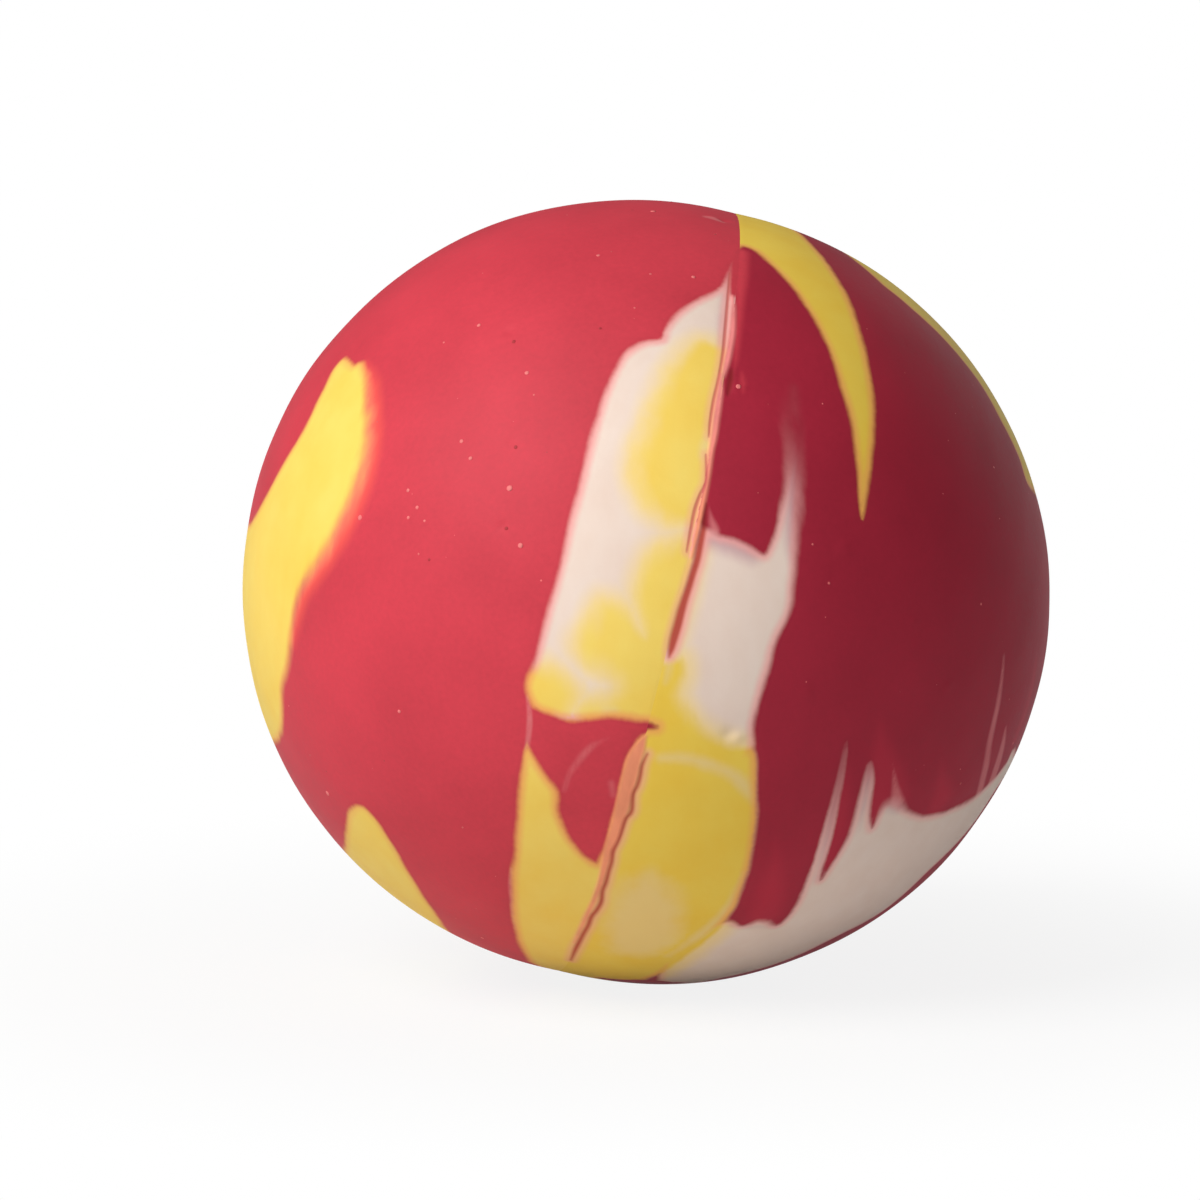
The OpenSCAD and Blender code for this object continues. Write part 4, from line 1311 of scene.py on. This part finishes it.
def fleck_tree(material):
    """Geometry nodes that lay small lenses on a skin, at random where it is red and at its loose points."""
    tree = bpy.data.node_groups.new("flecks", "GeometryNodeTree")
    made = {name: tree.interface.new_socket(name=name, in_out="INPUT", socket_type=kind).identifier
            for name, kind in (("Skin", "NodeSocketGeometry"), ("Per area", "NodeSocketFloat"),
                               ("Least", "NodeSocketFloat"), ("Most", "NodeSocketFloat"),
                               ("Seed", "NodeSocketInt"))}
    tree.interface.new_socket(name="Flecks", in_out="OUTPUT", socket_type="NodeSocketGeometry")
    n = Nodes(tree)
    group = tree.nodes.new("NodeGroupInput")
    given = {name: Socket(n, group.outputs[name]) for name in made}
    number = {"data_type": "FLOAT"}

    def from_skin(name):
        return n.node("GeometryNodeInputNamedAttribute", number, {"Name": name})

    def random_share(seed):
        return n.node("FunctionNodeRandomValue", number, {2: 0.0, 3: 1.0, "Seed": seed}, out=1)

    def unless_drawn(strewn_value, drawn_value):
        return n.node("GeometryNodeSwitch", {"input_type": "FLOAT"},
                      {"Switch": is_drawn, "False": strewn_value, "True": drawn_value})

    radius = from_skin("drawn_radius")
    is_drawn = n.node("FunctionNodeCompare", {**number, "operation": "GREATER_THAN"},
                      {"A": radius, "B": 0.0})
    strewn = n.node("GeometryNodeDistributePointsOnFaces", values={
        "Mesh": given["Skin"], "Density": given["Per area"] * from_skin("red_share"), "Seed": given["Seed"]})
    points = n.node("GeometryNodeJoinGeometry")
    loose = n.node("GeometryNodeMeshToPoints", values={"Mesh": given["Skin"], "Selection": is_drawn})
    for part in (loose, strewn):
        tree.links.new(part.link, points.link.node.inputs[0])
    # Most of the random flecks are small: the share is squared
    share = random_share(given["Seed"])
    size = unless_drawn(given["Least"] + (given["Most"] - given["Least"]) * share * share, radius)
    tone = unless_drawn(random_share(TONE_SEED), from_skin("drawn_tone"))
    outwards = n.node("FunctionNodeAlignRotationToVector", {"axis": "Z"},
                      {"Vector": n.node("GeometryNodeInputPosition")})
    lens = n.node("GeometryNodeMeshUVSphere", values={
        "Segments": LENS_SEGMENTS, "Rings": LENS_RINGS, "Radius": 1.0})
    scale = n.node("ShaderNodeCombineXYZ", values={"X": size, "Y": size, "Z": size * LENS_THICKNESS})
    laid = n.node("GeometryNodeInstanceOnPoints", values={
        "Points": points, "Instance": lens, "Rotation": outwards, "Scale": scale})
    laid = n.node("GeometryNodeStoreNamedAttribute", {**number, "domain": "INSTANCE"},
                  {"Geometry": laid, "Name": "tone", "Value": tone})
    laid = n.node("GeometryNodeRealizeInstances", values={"Geometry": laid})
    laid = n.node("GeometryNodeSetMaterial", values={"Geometry": laid, "Material": material})
    n.node("NodeGroupOutput", values={"Flecks": laid})
    return tree, made


def fleck_bed(sizes):
    """Coarse skin of the ball in metres, with the drawn flecks as loose points."""
    ball, marbling, skin = modelled(sizes)
    bed = moulded(ball, skin, (LEFT, RIGHT), sizes.skin_step / MM * COARSER, sizes.seam_step / MM * COARSER)
    places = places_of(bed)
    red = np.zeros(len(places))
    for side in (LEFT, RIGHT):
        mine = np.flatnonzero(side * (places @ ball.axis) >= 0)
        red[mine] = marbling.fields(ball.on_skin(places[mine]), side)["pale_mm"] < -RED_PAST
    flecks = np.vstack([ball.lifted(rows, LEFT) for rows in (LIGHT_FLECKS_PX, DARK_FLECKS_PX)])
    tones = [1.0] * len(LIGHT_FLECKS_PX) + [0.0] * len(DARK_FLECKS_PX)
    spots = ball.on_skin(flecks[:, :3])
    spots += skin.height(spots)[:, None] * ball.outwards(spots)
    faces = [tuple(face.vertices) for face in bed.polygons]
    mesh = mesh_of("fleck_bed", np.vstack((places, spots)) * MM, faces)
    plain = np.zeros(len(places))
    write_fields(mesh, {"red_share": np.append(red, np.zeros(len(spots))),
                        "drawn_radius": np.append(plain, flecks[:, 3] * MM),
                        "drawn_tone": np.append(plain, tones)})
    return mesh


class BALL_OT_flecks(bpy.types.Operator):
    """Strew flecks of stray rubber over the red skin"""

    bl_idname = "ball.flecks"
    bl_label = "Flecks"

    def execute(self, context):
        flecks = context.scene.ball_flecks
        bed = placed("fleck_bed", fleck_bed(context.scene.ball_sizes))
        tree, inputs = fleck_tree(fleck_rubber())
        strew = bed.modifiers.new("flecks", "NODES")
        strew.node_group = tree
        for name, value in (("Per area", flecks.per_area), ("Least", flecks.least), ("Most", flecks.most),
                            ("Seed", flecks.seed)):
            strew[inputs[name]] = value
        mesh = evaluated(bed)
        bpy.data.objects.remove(bed)
        shade_smooth(mesh)
        piece = placed("flecks", mesh)
        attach(piece, "root")
        return {"FINISHED"}


class BALL_OT_stage(bpy.types.Operator):
    """Make the floor, the lamps and the camera"""

    bl_idname = "ball.stage"
    bl_label = "Floor, light and camera"

    def execute(self, context):
        stage = context.scene.ball_stage
        low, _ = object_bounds()
        make_floor(low.z)
        make_sky(stage.sky_level)
        make_lamp("key", KEY_TOWARDS, stage.key_power)
        make_lamp("fill", FILL_TOWARDS, stage.fill_power)
        make_lamp("back", BACK_TOWARDS, stage.back_power)
        make_camera(Ball(context.scene.ball_sizes), stage.camera_distance)
        context.scene.view_settings.view_transform = "Standard"
        return {"FINISHED"}


WHITE = {"Color": (1.0, 1.0, 1.0), "Strength": 1.0}
FLOOR_REACH, FLOOR_GREY = 3.0, (0.79, 0.79, 0.79)
# How much of the floor's white a gloss on the ball shows
FLOOR_GLOSS = 0.5
# Distances from the ball's middle between which the shadow on the floor fades, in metres, and its strength
SHADOW_FADES, SHADOW_SHARE = (0.018, 0.045), 0.14
SKY = (0.97, 0.98, 1.0)
# Directions from the ball to the large lamps: above the viewer's left shoulder, in front and behind
KEY_TOWARDS, FILL_TOWARDS, BACK_TOWARDS = (-0.55, -0.45, 0.705), (0.1, -0.97, 0.2), (0.55, 0.82, 0.14)
LAMP_D, LAMP_DISTANCE, LAMP_COLOUR = 0.3, 0.4, (1.0, 0.98, 0.95)
SENSOR_MM, CLIP = 36.0, (0.01, 20)


def rays(n, *kinds):
    """Whether a ray is of each kind: seen by the camera, in a gloss or through glass."""
    path = n.tree.nodes.new("ShaderNodeLightPath")
    return [Socket(n, path.outputs[f"Is {kind} Ray"]) for kind in kinds]


def make_floor(height):
    """A grey floor that lights the ball, and that the camera sees as white outside the ball's shadow."""
    reach = FLOOR_REACH
    mesh = mesh_of("floor", [(-reach, -reach, height), (reach, -reach, height), (reach, reach, height),
                             (-reach, reach, height)], [(0, 1, 2, 3)])
    floor = placed("floor", mesh)
    material = bpy.data.materials.new("floor")
    n = emptied(material)
    lit = n.node("ShaderNodeBsdfDiffuse", values={"Color": FLOOR_GREY})
    white = n.node("ShaderNodeEmission", values=WHITE)
    camera, glossy = rays(n, "Camera", "Glossy")
    seen = (camera + FLOOR_GLOSS * glossy).clamped()
    away = n.node("ShaderNodeVectorMath", {"operation": "LENGTH"}, {0: n.place()}, out="Value")
    start, end = SHADOW_FADES
    blank = (1 - SHADOW_SHARE) + SHADOW_SHARE * ((away - start) / (end - start)).eased()
    shader = n.node("ShaderNodeMixShader", values={0: seen * blank, 1: lit, 2: white})
    n.node("ShaderNodeOutputMaterial", values={"Surface": shader})
    mesh.materials.append(material)
    floor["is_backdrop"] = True


def make_sky(level):
    """Even light from all round, which the camera sees as white."""
    world = bpy.data.worlds.new("sky")
    bpy.context.scene.world = world
    n = emptied(world)
    even = n.node("ShaderNodeBackground", values={"Color": SKY, "Strength": level})
    white = n.node("ShaderNodeBackground", values=WHITE)
    camera, transmission = rays(n, "Camera", "Transmission")
    shader = n.node("ShaderNodeMixShader", values={0: (camera + transmission).clamped(), 1: even, 2: white})
    n.node("ShaderNodeOutputWorld", values={"Surface": shader})


def make_lamp(name, towards, power):
    """A large soft lamp."""
    data = bpy.data.lights.new(name, "AREA")
    data.shape, data.size, data.energy, data.color = "DISK", LAMP_D, power, LAMP_COLOUR
    lamp = placed(name, data)
    towards = Vector(towards).normalized()
    lamp.location = towards * LAMP_DISTANCE
    lamp.rotation_euler = towards.to_track_quat("Z", "Y").to_euler()


def make_camera(ball, distance):
    """A long lens level with the drawing, aimed so that the ball's centre falls where it is drawn."""
    data = bpy.data.cameras.new("camera")
    data.sensor_width = SENSOR_MM
    data.lens = data.sensor_width * distance / (FRAME_PX * ball.px * MM)
    data.clip_start, data.clip_end = CLIP
    camera = placed("camera", data)
    away = Vector(ball.away)
    aim = (Vector(ball.right) * (FRAME_PX / 2 - CENTRE_PX[0])
           - Vector(ball.up) * (FRAME_PX / 2 - CENTRE_PX[1])) * ball.px * MM
    camera.location = aim - away * distance
    camera.rotation_euler = away.to_track_quat("-Z", "Y").to_euler()
    bpy.context.scene.camera = camera


class BALL_PT_panel(bpy.types.Panel):
    """Lists the steps that make the ball"""

    bl_idname = "BALL_PT_panel"
    bl_label = "Bouncy ball"
    bl_space_type = "VIEW_3D"
    bl_region_type = "UI"
    bl_category = "Ball"

    def draw(self, context):
        for step in STEPS:
            self.layout.operator(step.bl_idname)


STEPS = (BALL_OT_left_half, BALL_OT_right_half, BALL_OT_flash, BALL_OT_flecks, BALL_OT_stage)
GROUPS = {"ball_sizes": BallSizes, "ball_colours": BallColours, "ball_flecks": BallFlecks,
          "ball_stage": BallStage}
CLASSES = (*GROUPS.values(), *STEPS, BALL_PT_panel)


def register():
    for cls in CLASSES:
        bpy.utils.register_class(cls)
    for name, group in GROUPS.items():
        setattr(bpy.types.Scene, name, PointerProperty(type=group))


def unregister():
    for name in GROUPS:
        delattr(bpy.types.Scene, name)
    for cls in reversed(CLASSES):
        bpy.utils.unregister_class(cls)


def main():
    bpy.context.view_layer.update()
    register()
    bpy.ops.ball.left_half()
    bpy.ops.ball.right_half()
    bpy.ops.ball.flash()
    bpy.ops.ball.flecks()
    bpy.ops.ball.stage()


if __name__ == "__main__":
    main()
